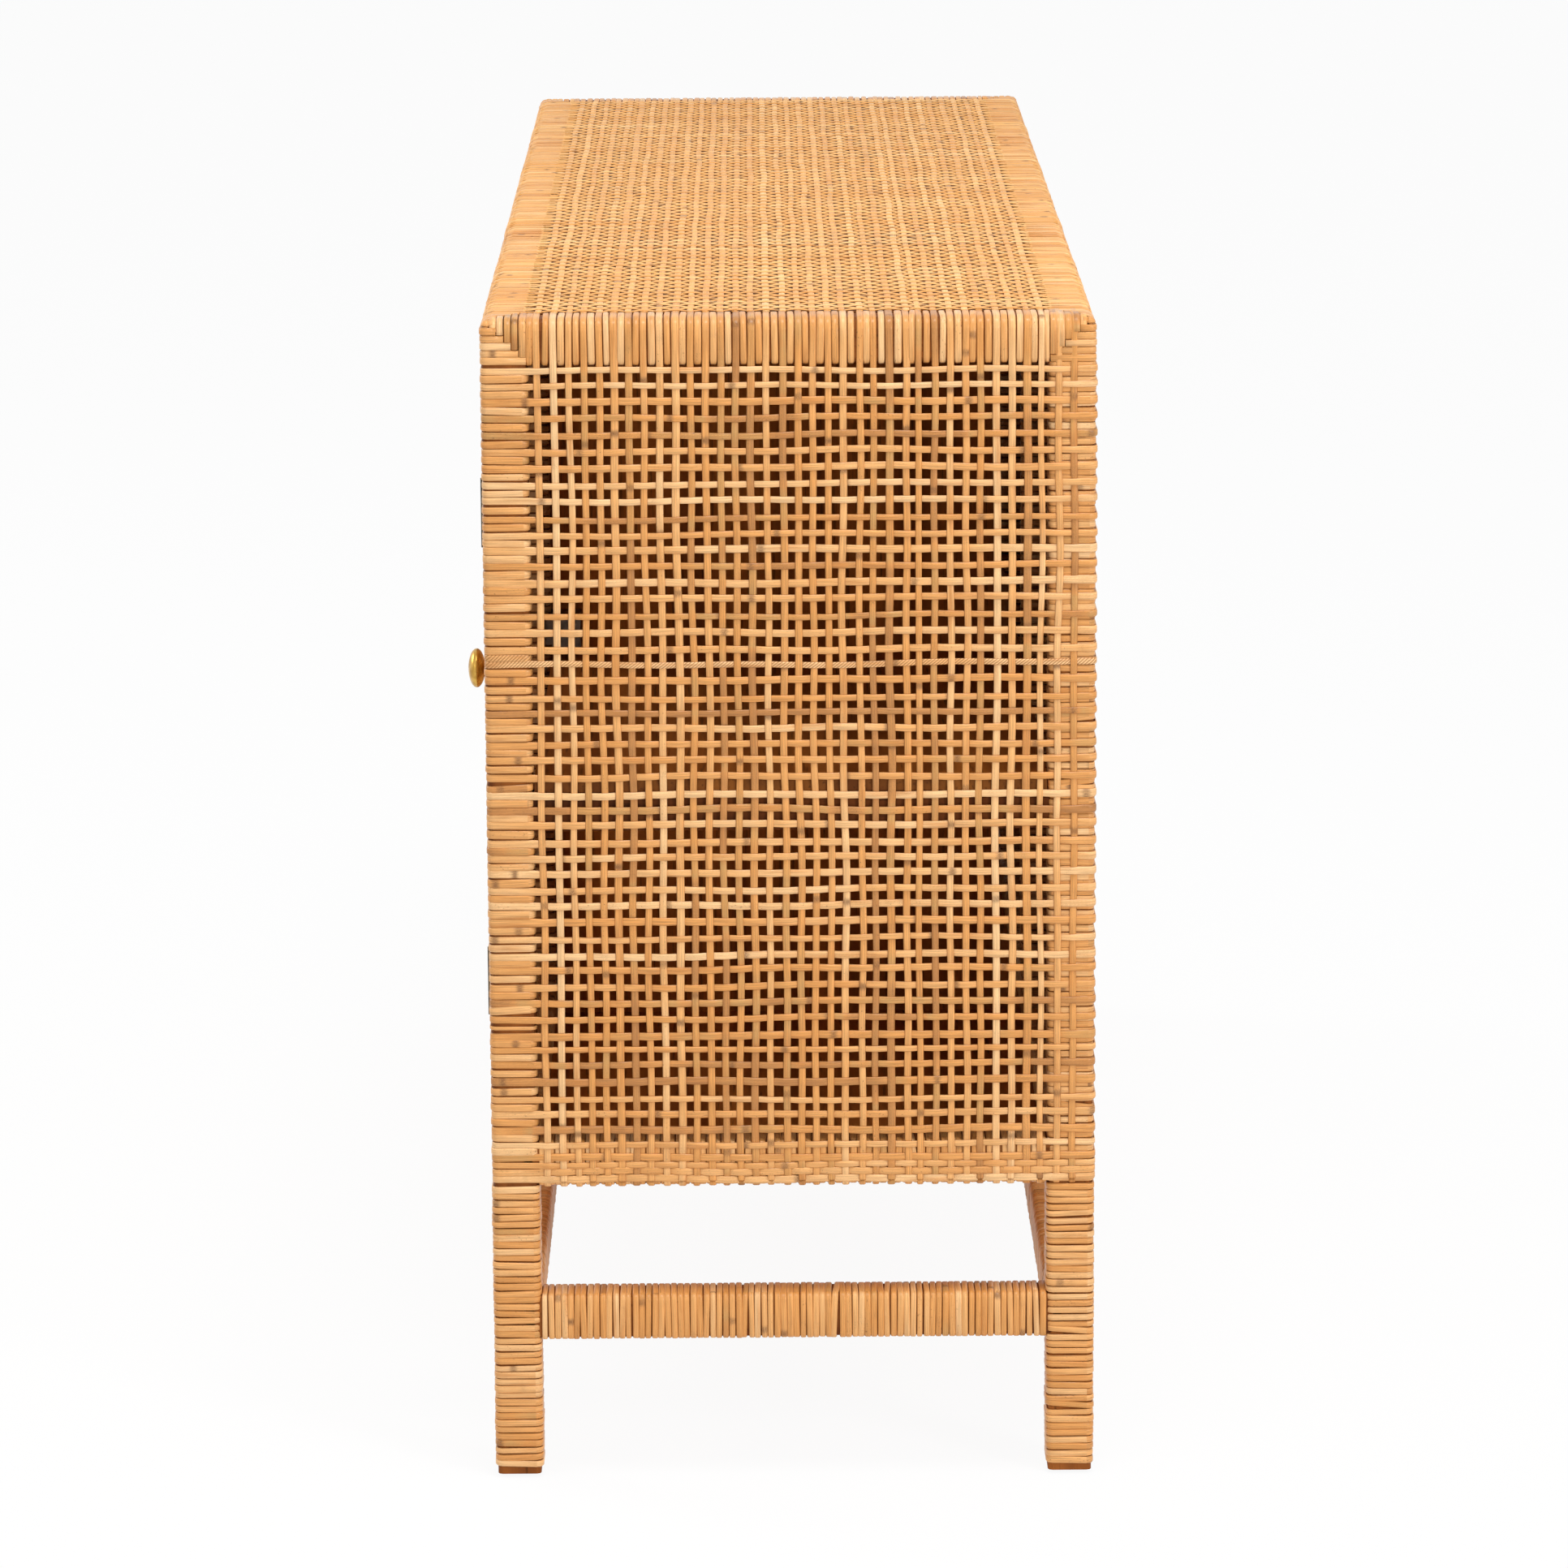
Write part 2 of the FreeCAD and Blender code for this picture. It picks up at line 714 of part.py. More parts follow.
def door(name, low, high, sign):
    """One framed door with its weave, wrap, knob, hinges and strike plate."""
    edge_low, edge_high = f"{low} + door_gap", f"{high} - door_gap"
    stile_x = {"low": edge_low, "high": f"{edge_high} - door_stile"}
    free = "high" if sign == "+" else "low"
    free_centre = f"{stile_x[free]} + door_stile / 2"
    middle_y = "front_face + door_thickness / 2"
    span = (f"{edge_low} + door_stile - rattan_skin", f"{edge_high} - door_stile + rattan_skin")
    rail_core = ("door_core", "door_stile_core")
    levels = ["door_bottom + door_stile / 2", "door_top - door_stile / 2"]
    hole = rod(
        (free_centre, "front_face + door_thickness + cut_overrun", "knob_height"),
        "knob_screw_diameter + 2 * knob_screw_clearance",
        "door_thickness + 2 * cut_overrun",
        UNDER_DOOR,
    )

    stiles, wraps = [], []
    for place, start in stile_x.items():
        core = block(
            (f"{start} + rattan_skin", "front_face + rattan_skin", "door_bottom + rattan_skin"),
            ("door_stile_core", "door_core", "door_top - door_bottom - 2 * rattan_skin"),
        )
        cuts = [mortise("x", (middle_y, level), *span, "door_tenon_thickness") for level in levels]
        skin = eased(
            block(
                (start, "front_face", "door_bottom"),
                ("door_stile", "door_thickness", "door_top - door_bottom"),
            ),
            "z",
        )
        bore = block(
            (f"{start} + rattan_skin", "front_face + rattan_skin", "door_bottom + rattan_skin"),
            ("door_stile_core", "door_core", "door_top - door_bottom - 2 * rattan_skin"),
        )
        reach = f"{span[1]} - ({span[0]})"
        windows = [beam("x", (middle_y, level), span[0], reach, rail_core) for level in levels]
        extra = [hole] if place == free else []
        stiles.append(carved(core, cuts + extra))
        wraps.append(carved(skin, [bore, *windows, *extra]))
    node(f"door_{name}_stiles", stiles)
    node(
        f"door_{name}_rails",
        [tenoned("x", (middle_y, level), *span, rail_core, "door_tenon_thickness") for level in levels],
    )
    inner_low = f"{edge_low} + door_stile"
    inner_width = f"{edge_high} - ({edge_low}) - 2 * door_stile"
    wraps += [sleeve("x", (middle_y, level), inner_low, inner_width, rail_core) for level in levels]
    node(f"door_{name}_wrap", wraps)
    net(
        f"door_{name}_weave",
        "front",
        (inner_low, "front_face + weave_thickness", "door_bottom + door_stile"),
        (inner_width, "door_top - door_bottom - 2 * door_stile", "weave_thickness"),
        "door_weave_columns",
        "door_weave_rows",
    )

    node(f"door_{name}_knob", [knob((free_centre, "front_face", "knob_height"))])
    screw = joined(
        [
            rod(
                (free_centre, "front_face + door_thickness", "knob_height"),
                "knob_screw_diameter",
                "door_thickness + knob_bore_depth - cut_overrun",
                UNDER_DOOR,
            ),
            rod(
                (free_centre, "front_face + door_thickness + knob_screw_head_height", "knob_height"),
                "knob_screw_head_diameter",
                "knob_screw_head_height",
                UNDER_DOOR,
            ),
        ]
    )
    node(f"door_{name}_knob_screw", [screw])

    other = "-" if sign == "+" else "+"
    post_side = low if sign == "+" else high
    door_edge = edge_low if sign == "+" else edge_high
    axis_x = f"{post_side} {sign} door_gap / 2"
    door_leaves = []
    for low_z in ("door_bottom + hinge_inset", "door_top - hinge_inset - hinge_height"):
        frame_plate = span_x(post_side, "hinge_leaf_thickness", sign)
        door_plate = span_x(door_edge, "hinge_leaf_thickness", other)
        hinge_leaves_frame.append(hinge_leaf(frame_plate, low_z, axis_x, (0, 2), "pin_fit"))
        door_leaves.append(hinge_leaf(door_plate, low_z, axis_x, (1,), "pin_fit"))
        hinge_pins.append(hinge_pin(axis_x, low_z))
    node(f"door_{name}_hinge_leaves", door_leaves)

    free_edge = edge_high if sign == "+" else edge_low
    strike_x = span_x(f"{free_edge} {other} strike_setback", "strike_width", other)
    strike = block(
        (strike_x, "front_face + door_thickness", "catch_centre - strike_height / 2"),
        ("strike_width", "strike_thickness", "strike_height"),
    )
    node(f"door_{name}_strike_plate", [strike])
    free_post = high if sign == "+" else low
    mount_x = f"{free_post} {sign} (post / 2 - partition_thickness / 2)"
    catch_front = "front_face + door_thickness + strike_thickness + catch_gap"
    case = block(
        (span_x(mount_x, "catch_width", other), "front_face + post", "catch_centre - catch_height / 2"),
        ("catch_width", f"{catch_front} + catch_depth - front_face - post", "catch_height"),
    )
    nose = block(
        (
            span_x(f"{free_post} {other} joint_clearance", "catch_nose_width", other),
            catch_front,
            "catch_centre - catch_nose_height / 2",
        ),
        (
            "catch_nose_width",
            f"front_face + post + catch_nose_width - ({catch_front})",
            "catch_nose_height",
        ),
    )
    catch = joined([case, nose])
    catches.append(catch)


for bay, faces in BAYS.items():
    door(bay, *faces)
node("hinge_leaves_frame", hinge_leaves_frame)
node("hinge_pins", hinge_pins)
node("catches", catches)

doc.recompute()
failed = [item.Label for item in doc.Objects if {"Invalid", "Error"} & set(item.State)]
failed += [part.Label for part in nodes if part.Shape.isNull() or not part.Shape.isValid()]
if failed:
    raise RuntimeError("not built: " + ", ".join(failed))

os.makedirs("parts", exist_ok=True)
for part in nodes:
    part.Shape.exportStep(os.path.join("parts", part.Label + ".step"))
print(len(nodes), "nodes,", sum(len(part.Shape.Solids) for part in nodes), "solids")
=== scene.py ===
"""Looks of a long rattan-covered cabinet with three woven doors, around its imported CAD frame."""

import logging
import math
from dataclasses import dataclass, field, replace
from enum import Enum

import bpy
import numpy as np
from mathutils import Matrix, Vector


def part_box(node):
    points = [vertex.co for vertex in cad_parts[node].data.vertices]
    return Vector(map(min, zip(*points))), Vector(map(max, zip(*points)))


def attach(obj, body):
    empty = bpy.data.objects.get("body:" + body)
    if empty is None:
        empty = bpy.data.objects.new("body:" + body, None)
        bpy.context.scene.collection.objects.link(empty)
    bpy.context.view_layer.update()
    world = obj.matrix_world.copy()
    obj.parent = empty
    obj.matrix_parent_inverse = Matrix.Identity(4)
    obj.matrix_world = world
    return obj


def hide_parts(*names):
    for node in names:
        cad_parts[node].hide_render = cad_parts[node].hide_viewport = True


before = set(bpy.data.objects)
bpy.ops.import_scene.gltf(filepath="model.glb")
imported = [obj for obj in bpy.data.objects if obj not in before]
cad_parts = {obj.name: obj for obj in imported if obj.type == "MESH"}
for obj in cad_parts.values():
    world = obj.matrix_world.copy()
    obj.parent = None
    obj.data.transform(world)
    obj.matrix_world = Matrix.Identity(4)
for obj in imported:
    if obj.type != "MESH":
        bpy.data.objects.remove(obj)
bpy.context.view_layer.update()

MM = 0.001
POST_EDGE = 3.2 * MM
TOP_EDGE = 7.0 * MM
DOOR_EDGE = 2.6 * MM
QUARTER_TURN = np.radians([0.0, 30.0, 60.0, 90.0])
X_WAY, Y_WAY, Z_WAY = np.eye(3)
STRIP_UV = "strip"
TONE = "tone"
CARCASS = "carcass"
DOORS = ("right", "middle", "left")
FLANKS = {"front": -1.0, "back": 1.0}
WHITE = (1.0, 1.0, 1.0, 1.0)
SEED = 20

Array = np.ndarray
Colour = tuple[float, float, float, float]
Point = tuple[float, float, float]
Profile = tuple[tuple[float, float], ...]
Socket = bpy.types.NodeSocket
Node = bpy.types.Node
Material = bpy.types.Material
log = logging.getLogger("rattan_cabinet")


class Axis(Enum):
    """A direction of the frame, by its place in a point."""

    X = 0
    Y = 1
    Z = 2

    @property
    def way(self) -> Array:
        """The direction, one long."""
        return np.eye(3)[self.value]

    @property
    def across(self) -> Array:
        """The two directions square to this one, in turning order."""
        return np.eye(3)[[(self.value + 1) % 3, (self.value + 2) % 3]]


class End(Enum):
    """An end of the cabinet, by its sign along X."""

    RIGHT = 1
    LEFT = -1

    def post(self, flank: str) -> str:
        """The CAD node of this end's front or back corner post."""
        return f"leg_post_{flank}_{self.name.lower()}"


class Line(Enum):
    """A direction of rails.

    An option holds the word in the nodes' names, the rails' axis, the axis that parts them, and the outer
    upper edge of the low and of the high rail, square to the axis.
    """

    LONG = ("long", Axis.X, Axis.Y, ((-1, 1), (1, 1)))
    END = ("end", Axis.Y, Axis.X, ((1, -1), (1, 1)))

    def __init__(self, word: str, axis: Axis, apart: Axis, edges: tuple[tuple[int, int], ...]) -> None:
        """Name the parts of the option."""
        self.word, self.axis, self.apart, self.edges = word, axis, apart, edges


class Section(Enum):
    """Outline of a strip across its run: place over the width, and height over the thickness."""

    FULL = ((-0.5, 0.0), (0.5, 0.0), (0.47, 0.55), (0.28, 0.95), (-0.28, 0.95), (-0.47, 0.55))
    LIGHT = ((-0.5, 0.0), (0.5, 0.0), (0.42, 0.72), (0.0, 1.0), (-0.42, 0.72))


def unit(vectors: Array) -> Array:
    """Vectors divided by their own lengths."""
    return vectors / np.linalg.norm(vectors, axis=-1, keepdims=True)


def halfway(places: Array) -> Array:
    """The places half way between neighbours."""
    return (places[1:] + places[:-1]) / 2


def ease(values: Array, low: float, high: float) -> Array:
    """A smooth step: 0 below low, 1 above high, and 3t^2 - 2t^3 between them."""
    share = np.clip((values - low) / (high - low), 0.0, 1.0)
    return share * share * (3.0 - 2.0 * share)


@dataclass(frozen=True)
class Box:
    """The lowest and highest corner of a CAD node or of a bar in it."""

    low: Array
    high: Array

    @classmethod
    def of(cls, node: str) -> "Box":
        """The box of a CAD node at rest."""
        low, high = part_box(node)
        return cls(np.array(low), np.array(high))

    @property
    def middle(self) -> Array:
        """The centre of the box."""
        return (self.low + self.high) / 2

    @property
    def size(self) -> Array:
        """The three sides of the box."""
        return self.high - self.low

    def ruled(self, axis: Axis, inset: float, count: int) -> Array:
        """Even places along an axis, from one inset side to the other."""
        return np.linspace(self.low[axis.value] + inset, self.high[axis.value] - inset, count)

    def raised(self, axis: Axis, slope: float, lift: float) -> Profile:
        """A ground that climbs from both sides over a slope to a lift: places along an axis and heights."""
        low, high = self.low[axis.value], self.high[axis.value]
        return (low, 0.0), (low + slope, lift), (high - slope, lift), (high, 0.0)

    def pair(self, apart: Axis, thick: float) -> tuple["Box", "Box"]:
        """Two bars of one thickness on the low and the high side of the box along an axis."""
        spare = apart.way * (self.size - thick)
        return Box(self.low, self.high - spare), Box(self.low + spare, self.high)


class ShaderSheet:
    """A node tree in the making, for a material or the sky, with short calls for its nodes."""

    def __init__(self, owner: Material | bpy.types.World) -> None:
        """Start with an empty tree.

        Args:
            owner: The new material or world.
        """
        owner.use_nodes = True
        self.owner = owner
        self.nodes = owner.node_tree.nodes
        self.links = owner.node_tree.links
        self.nodes.clear()

    @classmethod
    def named(cls, name: str) -> "ShaderSheet":
        """A sheet for a new material."""
        return cls(bpy.data.materials.new(name))

    def feed(self, socket: Socket, value: object) -> None:
        """Link an input to an output, or set its value.

        Args:
            socket: The input.
            value: An output socket, or a number or colour.
        """
        if isinstance(value, Socket):
            self.links.new(value, socket)
        else:
            socket.default_value = value

    def place(self, kind: str, *given: object, **named: object) -> Node:
        """Add a node, feed its first inputs in order and then the inputs that are named.

        Args:
            kind: The node's type without its common first part.
            *given: What feeds the first inputs.
            **named: Input names, with _ for a space, and what feeds each.

        Returns:
            The node.
        """
        node = self.nodes.new(f"ShaderNode{kind}")
        for socket, value in zip(node.inputs, given):
            self.feed(socket, value)
        for name, value in named.items():
            self.feed(node.inputs[name.replace("_", " ")], value)
        return node

    def math(self, operation: str, first: object, second: object = 0.0) -> Socket:
        """The result of a Math node.

        Args:
            operation: What it does.
            first: Its first value.
            second: Its second value, if it has one.

        Returns:
            The result.
        """
        node = self.place("Math", first, second)
        node.operation = operation
        return node.outputs[0]

    def times(self, first: object, second: object) -> Socket:
        """The product of two values."""
        return self.math("MULTIPLY", first, second)

    def span(self, value: object, low: float, high: float, to_low: float, to_high: float) -> Socket:
        """A value eased from one range into another, and held beyond it.

        Args:
            value: What is mapped.
            low: Start of the range it comes from.
            high: End of that range.
            to_low: Result at and below low.
            to_high: Result at and above high.

        Returns:
            The mapped value.
        """
        node = self.place("MapRange", value, low, high, to_low, to_high)
        node.interpolation_type = "SMOOTHSTEP"
        return node.outputs[0]

    def point(self, x: object, y: object, z: object) -> Socket:
        """A vector from three values."""
        return self.place("CombineXYZ", x, y, z).outputs[0]

    def noise(self, where: object, scale: float, detail: float) -> Socket:
        """Soft noise from 0 to 1 at a place."""
        return self.place("TexNoise", Vector=where, Scale=scale, Detail=detail).outputs[0]

    def blend(self, share: object, first: object, second: object, mode: str = "MIX") -> Socket:
        """Two colours blended.

        Args:
            share: How much of the second colour counts.
            first: The colour below.
            second: The colour above.
            mode: One of the Mix node's modes.

        Returns:
            The blended colour.
        """
        node = self.nodes.new("ShaderNodeMix")
        node.data_type, node.blend_type = "RGBA", mode
        for number, given in ((0, share), (6, first), (7, second)):
            self.feed(node.inputs[number], given)
        return node.outputs[2]

    def shade(self, colour: Socket, value: Socket) -> Socket:
        """A colour times one value."""
        return self.blend(1.0, colour, self.point(value, value, value), "MULTIPLY")

    def ramp(self, value: object, stops: tuple[tuple[float, Colour], ...]) -> Socket:
        """A colour read from a ramp.

        Args:
            value: Where the ramp is read.
            stops: Two or more places with their colours.

        Returns:
            The colour.
        """
        node = self.place("ValToRGB", value)
        band = node.color_ramp.elements
        for number, (place, colour) in enumerate(stops):
            stop = band[number] if number < 2 else band.new(place)
            stop.position, stop.color = place, colour
        return node.outputs[0]

    def finish(self, shader: Node, output: str = "OutputMaterial") -> Material | bpy.types.World:
        """End the sheet with a shader on the surface, and give its owner back."""
        self.place(output, Surface=shader.outputs[0])
        return self.owner

    def dressed(
        self, colour: Socket, height: Socket, strength: float, depth: float, **surface: object
    ) -> Material:
        """End the sheet with a Principled shader over a bump.

        Args:
            colour: The base colour.
            height: What the bump follows.
            strength: How strong the bump is.
            depth: How deep it is.
            **surface: The shader's other inputs.

        Returns:
            The finished material.
        """
        bump = self.place("Bump", Strength=strength, Distance=depth, Height=height).outputs[0]
        return self.finish(self.place("BsdfPrincipled", Base_Color=colour, Normal=bump, **surface))


@dataclass(frozen=True)
class RattanFinish:
    """Split rattan peel: each strip its own tone, with fibres, scars at its nodes, and edges darkened partly
    as the peel's own dark edge and partly as painted shade in the gaps between strips.

    fibres, clouds and specks are waves per metre of strip, waves over its width, and detail; ageing is
    waves per metre.
    """

    name: str = "rattan_peel"
    palette: tuple[tuple[float, Colour], ...] = (
        (0.00, (0.84, 0.52, 0.25, 1.0)),
        (0.30, (0.77, 0.40, 0.145, 1.0)),
        (0.58, (0.71, 0.33, 0.10, 1.0)),
        (0.82, (0.67, 0.295, 0.08, 1.0)),
        (0.93, (0.56, 0.30, 0.10, 1.0)),
        (0.96, (0.60, 0.26, 0.075, 1.0)),
        (1.00, (0.46, 0.20, 0.06, 1.0)),
    )
    scar: Colour = (0.16, 0.065, 0.025, 1.0)
    blush: Colour = (0.56, 0.22, 0.055, 1.0)
    # edge: colour of the score marks, and of the painted shade laid on the strips' sides
    edge: Colour = (0.36, 0.14, 0.035, 1.0)
    tint: Colour = WHITE
    fibres: Point = (42.0, 11.0, 4.0)
    clouds: Point = (17.0, 0.8, 2.0)
    specks: Point = (620.0, 4.5, 1.0)
    ageing: float = 8.0
    chance_scale: float = 517.0
    start_range: float = 40.0
    raggedness: float = 0.02
    node_spacing: float = 0.29
    score_spacing: float = 2.4 * MM
    score_slant: float = 2.2
    middle_tone: float = 0.4
    # How much of the edge colour a strip's sides take: partly the peel's own dark edge, partly painted shade
    # between strips
    rim_and_gap_shade_share: float = 0.45
    tone_spread: float = 1.0
    coat: float = 0.10

    def make(self) -> Material:
        """Build the material from the strip's own UV, in metres along and 0 to 1 across, and tone.

        Returns:
            The material.
        """
        sheet = ShaderSheet.named(self.name)
        tone, chart, draw = (sheet.place(kind) for kind in ("Attribute", "UVMap", "TexWhiteNoise"))
        tone.attribute_name, chart.uv_map, draw.noise_dimensions = TONE, STRIP_UV, "1D"
        seed = tone.outputs["Fac"]
        along, over, _ = sheet.place("SeparateXYZ", chart.outputs[0]).outputs
        sheet.feed(draw.inputs["W"], sheet.times(seed, self.chance_scale))
        chance = draw.outputs["Value"]
        shift = sheet.times(chance, self.start_range)
        run = sheet.math("ADD", along, shift)
        fibre, cloud, speck = (
            sheet.noise(sheet.point(sheet.times(run, long), sheet.times(over, wide), shift), 1.0, detail)
            for long, wide, detail in (self.fibres, self.clouds, self.specks)
        )

        aged = sheet.noise(sheet.point(sheet.times(run, self.ageing), shift, 0.0), 1.0, 3.0)
        drifted = sheet.math("ADD", sheet.math("FRACT", seed), sheet.span(aged, 0.25, 0.75, -0.3, 0.3))
        middled = sheet.times(sheet.math("SUBTRACT", drifted, self.middle_tone), self.tone_spread)
        colour = sheet.ramp(sheet.math("ADD", middled, self.middle_tone), self.palette)
        colour = sheet.blend(sheet.span(cloud, 0.52, 0.78, 0.0, 0.75), colour, self.blush)
        colour = sheet.shade(colour, sheet.span(fibre, 0.30, 0.70, 0.74, 1.18))

        lap = sheet.math("FRACT", sheet.math("ADD", sheet.math("DIVIDE", along, self.node_spacing), chance))
        ragged = sheet.times(sheet.math("SUBTRACT", fibre, 0.5), self.raggedness)
        off_node = sheet.math("ADD", sheet.math("ABSOLUTE", sheet.math("SUBTRACT", lap, 0.5)), ragged)
        near_node = sheet.span(off_node, 0.002, 0.013, 0.85, 0.0)
        scarred = sheet.times(near_node, sheet.span(fibre, 0.25, 0.6, 0.3, 1.0))
        cuts = sheet.math("DIVIDE", along, self.score_spacing)
        slant = sheet.math("ADD", cuts, sheet.times(over, self.score_slant))
        notch = sheet.span(sheet.math("FRACT", slant), 0.3, 0.6, 0.8, 0.0)
        scored = sheet.times(notch, sheet.span(seed, 1.0, 1.02, 0.0, 1.0))
        spotty = sheet.span(chance, 0.72, 0.92, 0.0, 1.0)
        spotted = sheet.times(spotty, sheet.span(speck, 0.66, 0.76, 0.0, 0.7))
        # Painted shade: the edge colour laid over each strip's sides and lower corners, where the gaps
        # between strips lie in shade; partly also the peel's own darker edge
        off_middle = sheet.math("ABSOLUTE", sheet.math("SUBTRACT", over, 0.5))
        rim_and_gap_shade = sheet.span(off_middle, 0.40, 0.5, 0.0, self.rim_and_gap_shade_share)
        marks = (scarred, self.scar), (scored, self.edge), (spotted, self.scar), (rim_and_gap_shade, self.edge)
        for share, mark in marks:
            colour = sheet.blend(share, colour, mark)
        return sheet.dressed(
            sheet.blend(1.0, colour, self.tint, "MULTIPLY"),
            sheet.math("SUBTRACT", fibre, sheet.times(scarred, 0.8)),
            strength=0.35,
            depth=0.4 * MM,
            Roughness=sheet.span(fibre, 0.2, 0.8, 0.30, 0.48),
            Specular_IOR_Level=0.25,
            Coat_Weight=self.coat,
            Coat_Roughness=0.12,
        )


@dataclass(frozen=True)
class StainedWood:
    """Dark stained wood with its grain along one axis of the frame."""

    grain: Axis
    tone: str = "stained"
    dark: Colour = (0.13, 0.036, 0.008, 1.0)
    light: Colour = (0.32, 0.10, 0.020, 1.0)
    waves_across: float = 46.0
    waves_along: float = 2.6
    pore_scale: float = 7.0

    def make(self) -> Material:
        """Build the material: long grain lines and pores from Object coordinates, and dark end grain.

        Returns:
            The material.
        """
        sheet = ShaderSheet.named(f"{self.tone}_wood_{self.grain.name.lower()}")
        where = sheet.place("TexCoord").outputs
        stretch = self.waves_across + (self.waves_along - self.waves_across) * self.grain.way
        turned = sheet.place("Mapping", Vector=where["Object"], Scale=stretch).outputs[0]
        lines = sheet.noise(turned, 1.0, 5.0)
        pores = sheet.noise(turned, self.pore_scale, 2.0)
        facing = sheet.place("SeparateXYZ", where["Normal"]).outputs[self.grain.value]
        colour = sheet.ramp(lines, ((0.34, self.dark), (0.68, self.light)))
        colour = sheet.shade(colour, sheet.span(pores, 0.58, 0.72, 1.0, 0.55))
        colour = sheet.shade(colour, sheet.span(sheet.math("ABSOLUTE", facing), 0.6, 0.9, 1.0, 0.3))
        rough = sheet.span(lines, 0.3, 0.7, 0.55, 0.7)
        return sheet.dressed(colour, pores, 0.25, 0.4 * MM, Roughness=rough, Specular_IOR_Level=0.1)


@dataclass(frozen=True)
class AgedMetal:
    """A metal with cloudy tarnish and fine rubbed marks."""

    name: str
    bright: Colour
    tarnish: Colour
    smooth: float
    rough: float
    cloud_waves: float = 140.0
    rub_waves: Point = (900.0, 900.0, 160.0)

    def make(self) -> Material:
        """Build the material from Object coordinates.

        Returns:
            The material.
        """
        sheet = ShaderSheet.named(self.name)
        where = sheet.place("TexCoord").outputs["Object"]
        cloud = sheet.noise(where, self.cloud_waves, 4.0)
        stretched = sheet.place("Mapping", Vector=where, Scale=self.rub_waves).outputs[0]
        rubbed = sheet.noise(stretched, 1.0, 2.0)
        colour = sheet.blend(sheet.span(cloud, 0.35, 0.72, 0.0, 1.0), self.bright, self.tarnish)
        rough = sheet.span(cloud, 0.3, 0.75, self.smooth, self.rough)
        return sheet.dressed(colour, rubbed, 0.08, 0.2 * MM, Roughness=rough, Metallic=1.0)


@dataclass(frozen=True)
class MouldedGlide:
    """Dark brown moulded plastic with a fine grain."""

    name: str = "moulded_glide"
    dark: Colour = (0.020, 0.011, 0.007, 1.0)
    light: Colour = (0.045, 0.026, 0.016, 1.0)
    grain_waves: float = 1500.0

    def make(self) -> Material:
        """Build the material from Object coordinates.

        Returns:
            The material.
        """
        sheet = ShaderSheet.named(self.name)
        grain = sheet.noise(sheet.place("TexCoord").outputs["Object"], self.grain_waves, 2.0)
        colour = sheet.blend(sheet.span(grain, 0.3, 0.7, 0.0, 1.0), self.dark, self.light)
        return sheet.dressed(colour, grain, 0.2, 0.1 * MM, Roughness=0.5)


def cover(finish: Material, *nodes: str) -> None:
    """Put a finish on all material slots of CAD nodes.

    Args:
        finish: The material.
        *nodes: The nodes' names.
    """
    for node in nodes:
        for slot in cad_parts[node].material_slots:
            slot.material = finish
    log.info("%s on %d nodes", finish.name, len(nodes))


def mount(mesh: bpy.types.Mesh, finish: Material, body: str, nodes: tuple[str, ...]) -> None:
    """Make a piece of a mesh, dress it and set it on its body in the place of CAD nodes.

    Args:
        mesh: The mesh, in the frame at rest; the piece takes its name.
        finish: The material.
        body: The body that carries the piece.
        nodes: The CAD nodes that it replaces.
    """
    mesh.materials.append(finish)
    piece = bpy.data.objects.new(mesh.name, mesh)
    bpy.context.scene.collection.objects.link(piece)
    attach(piece, body)
    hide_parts(*nodes)
    log.info("%s: %d faces on %s", piece.name, len(mesh.polygons), body)


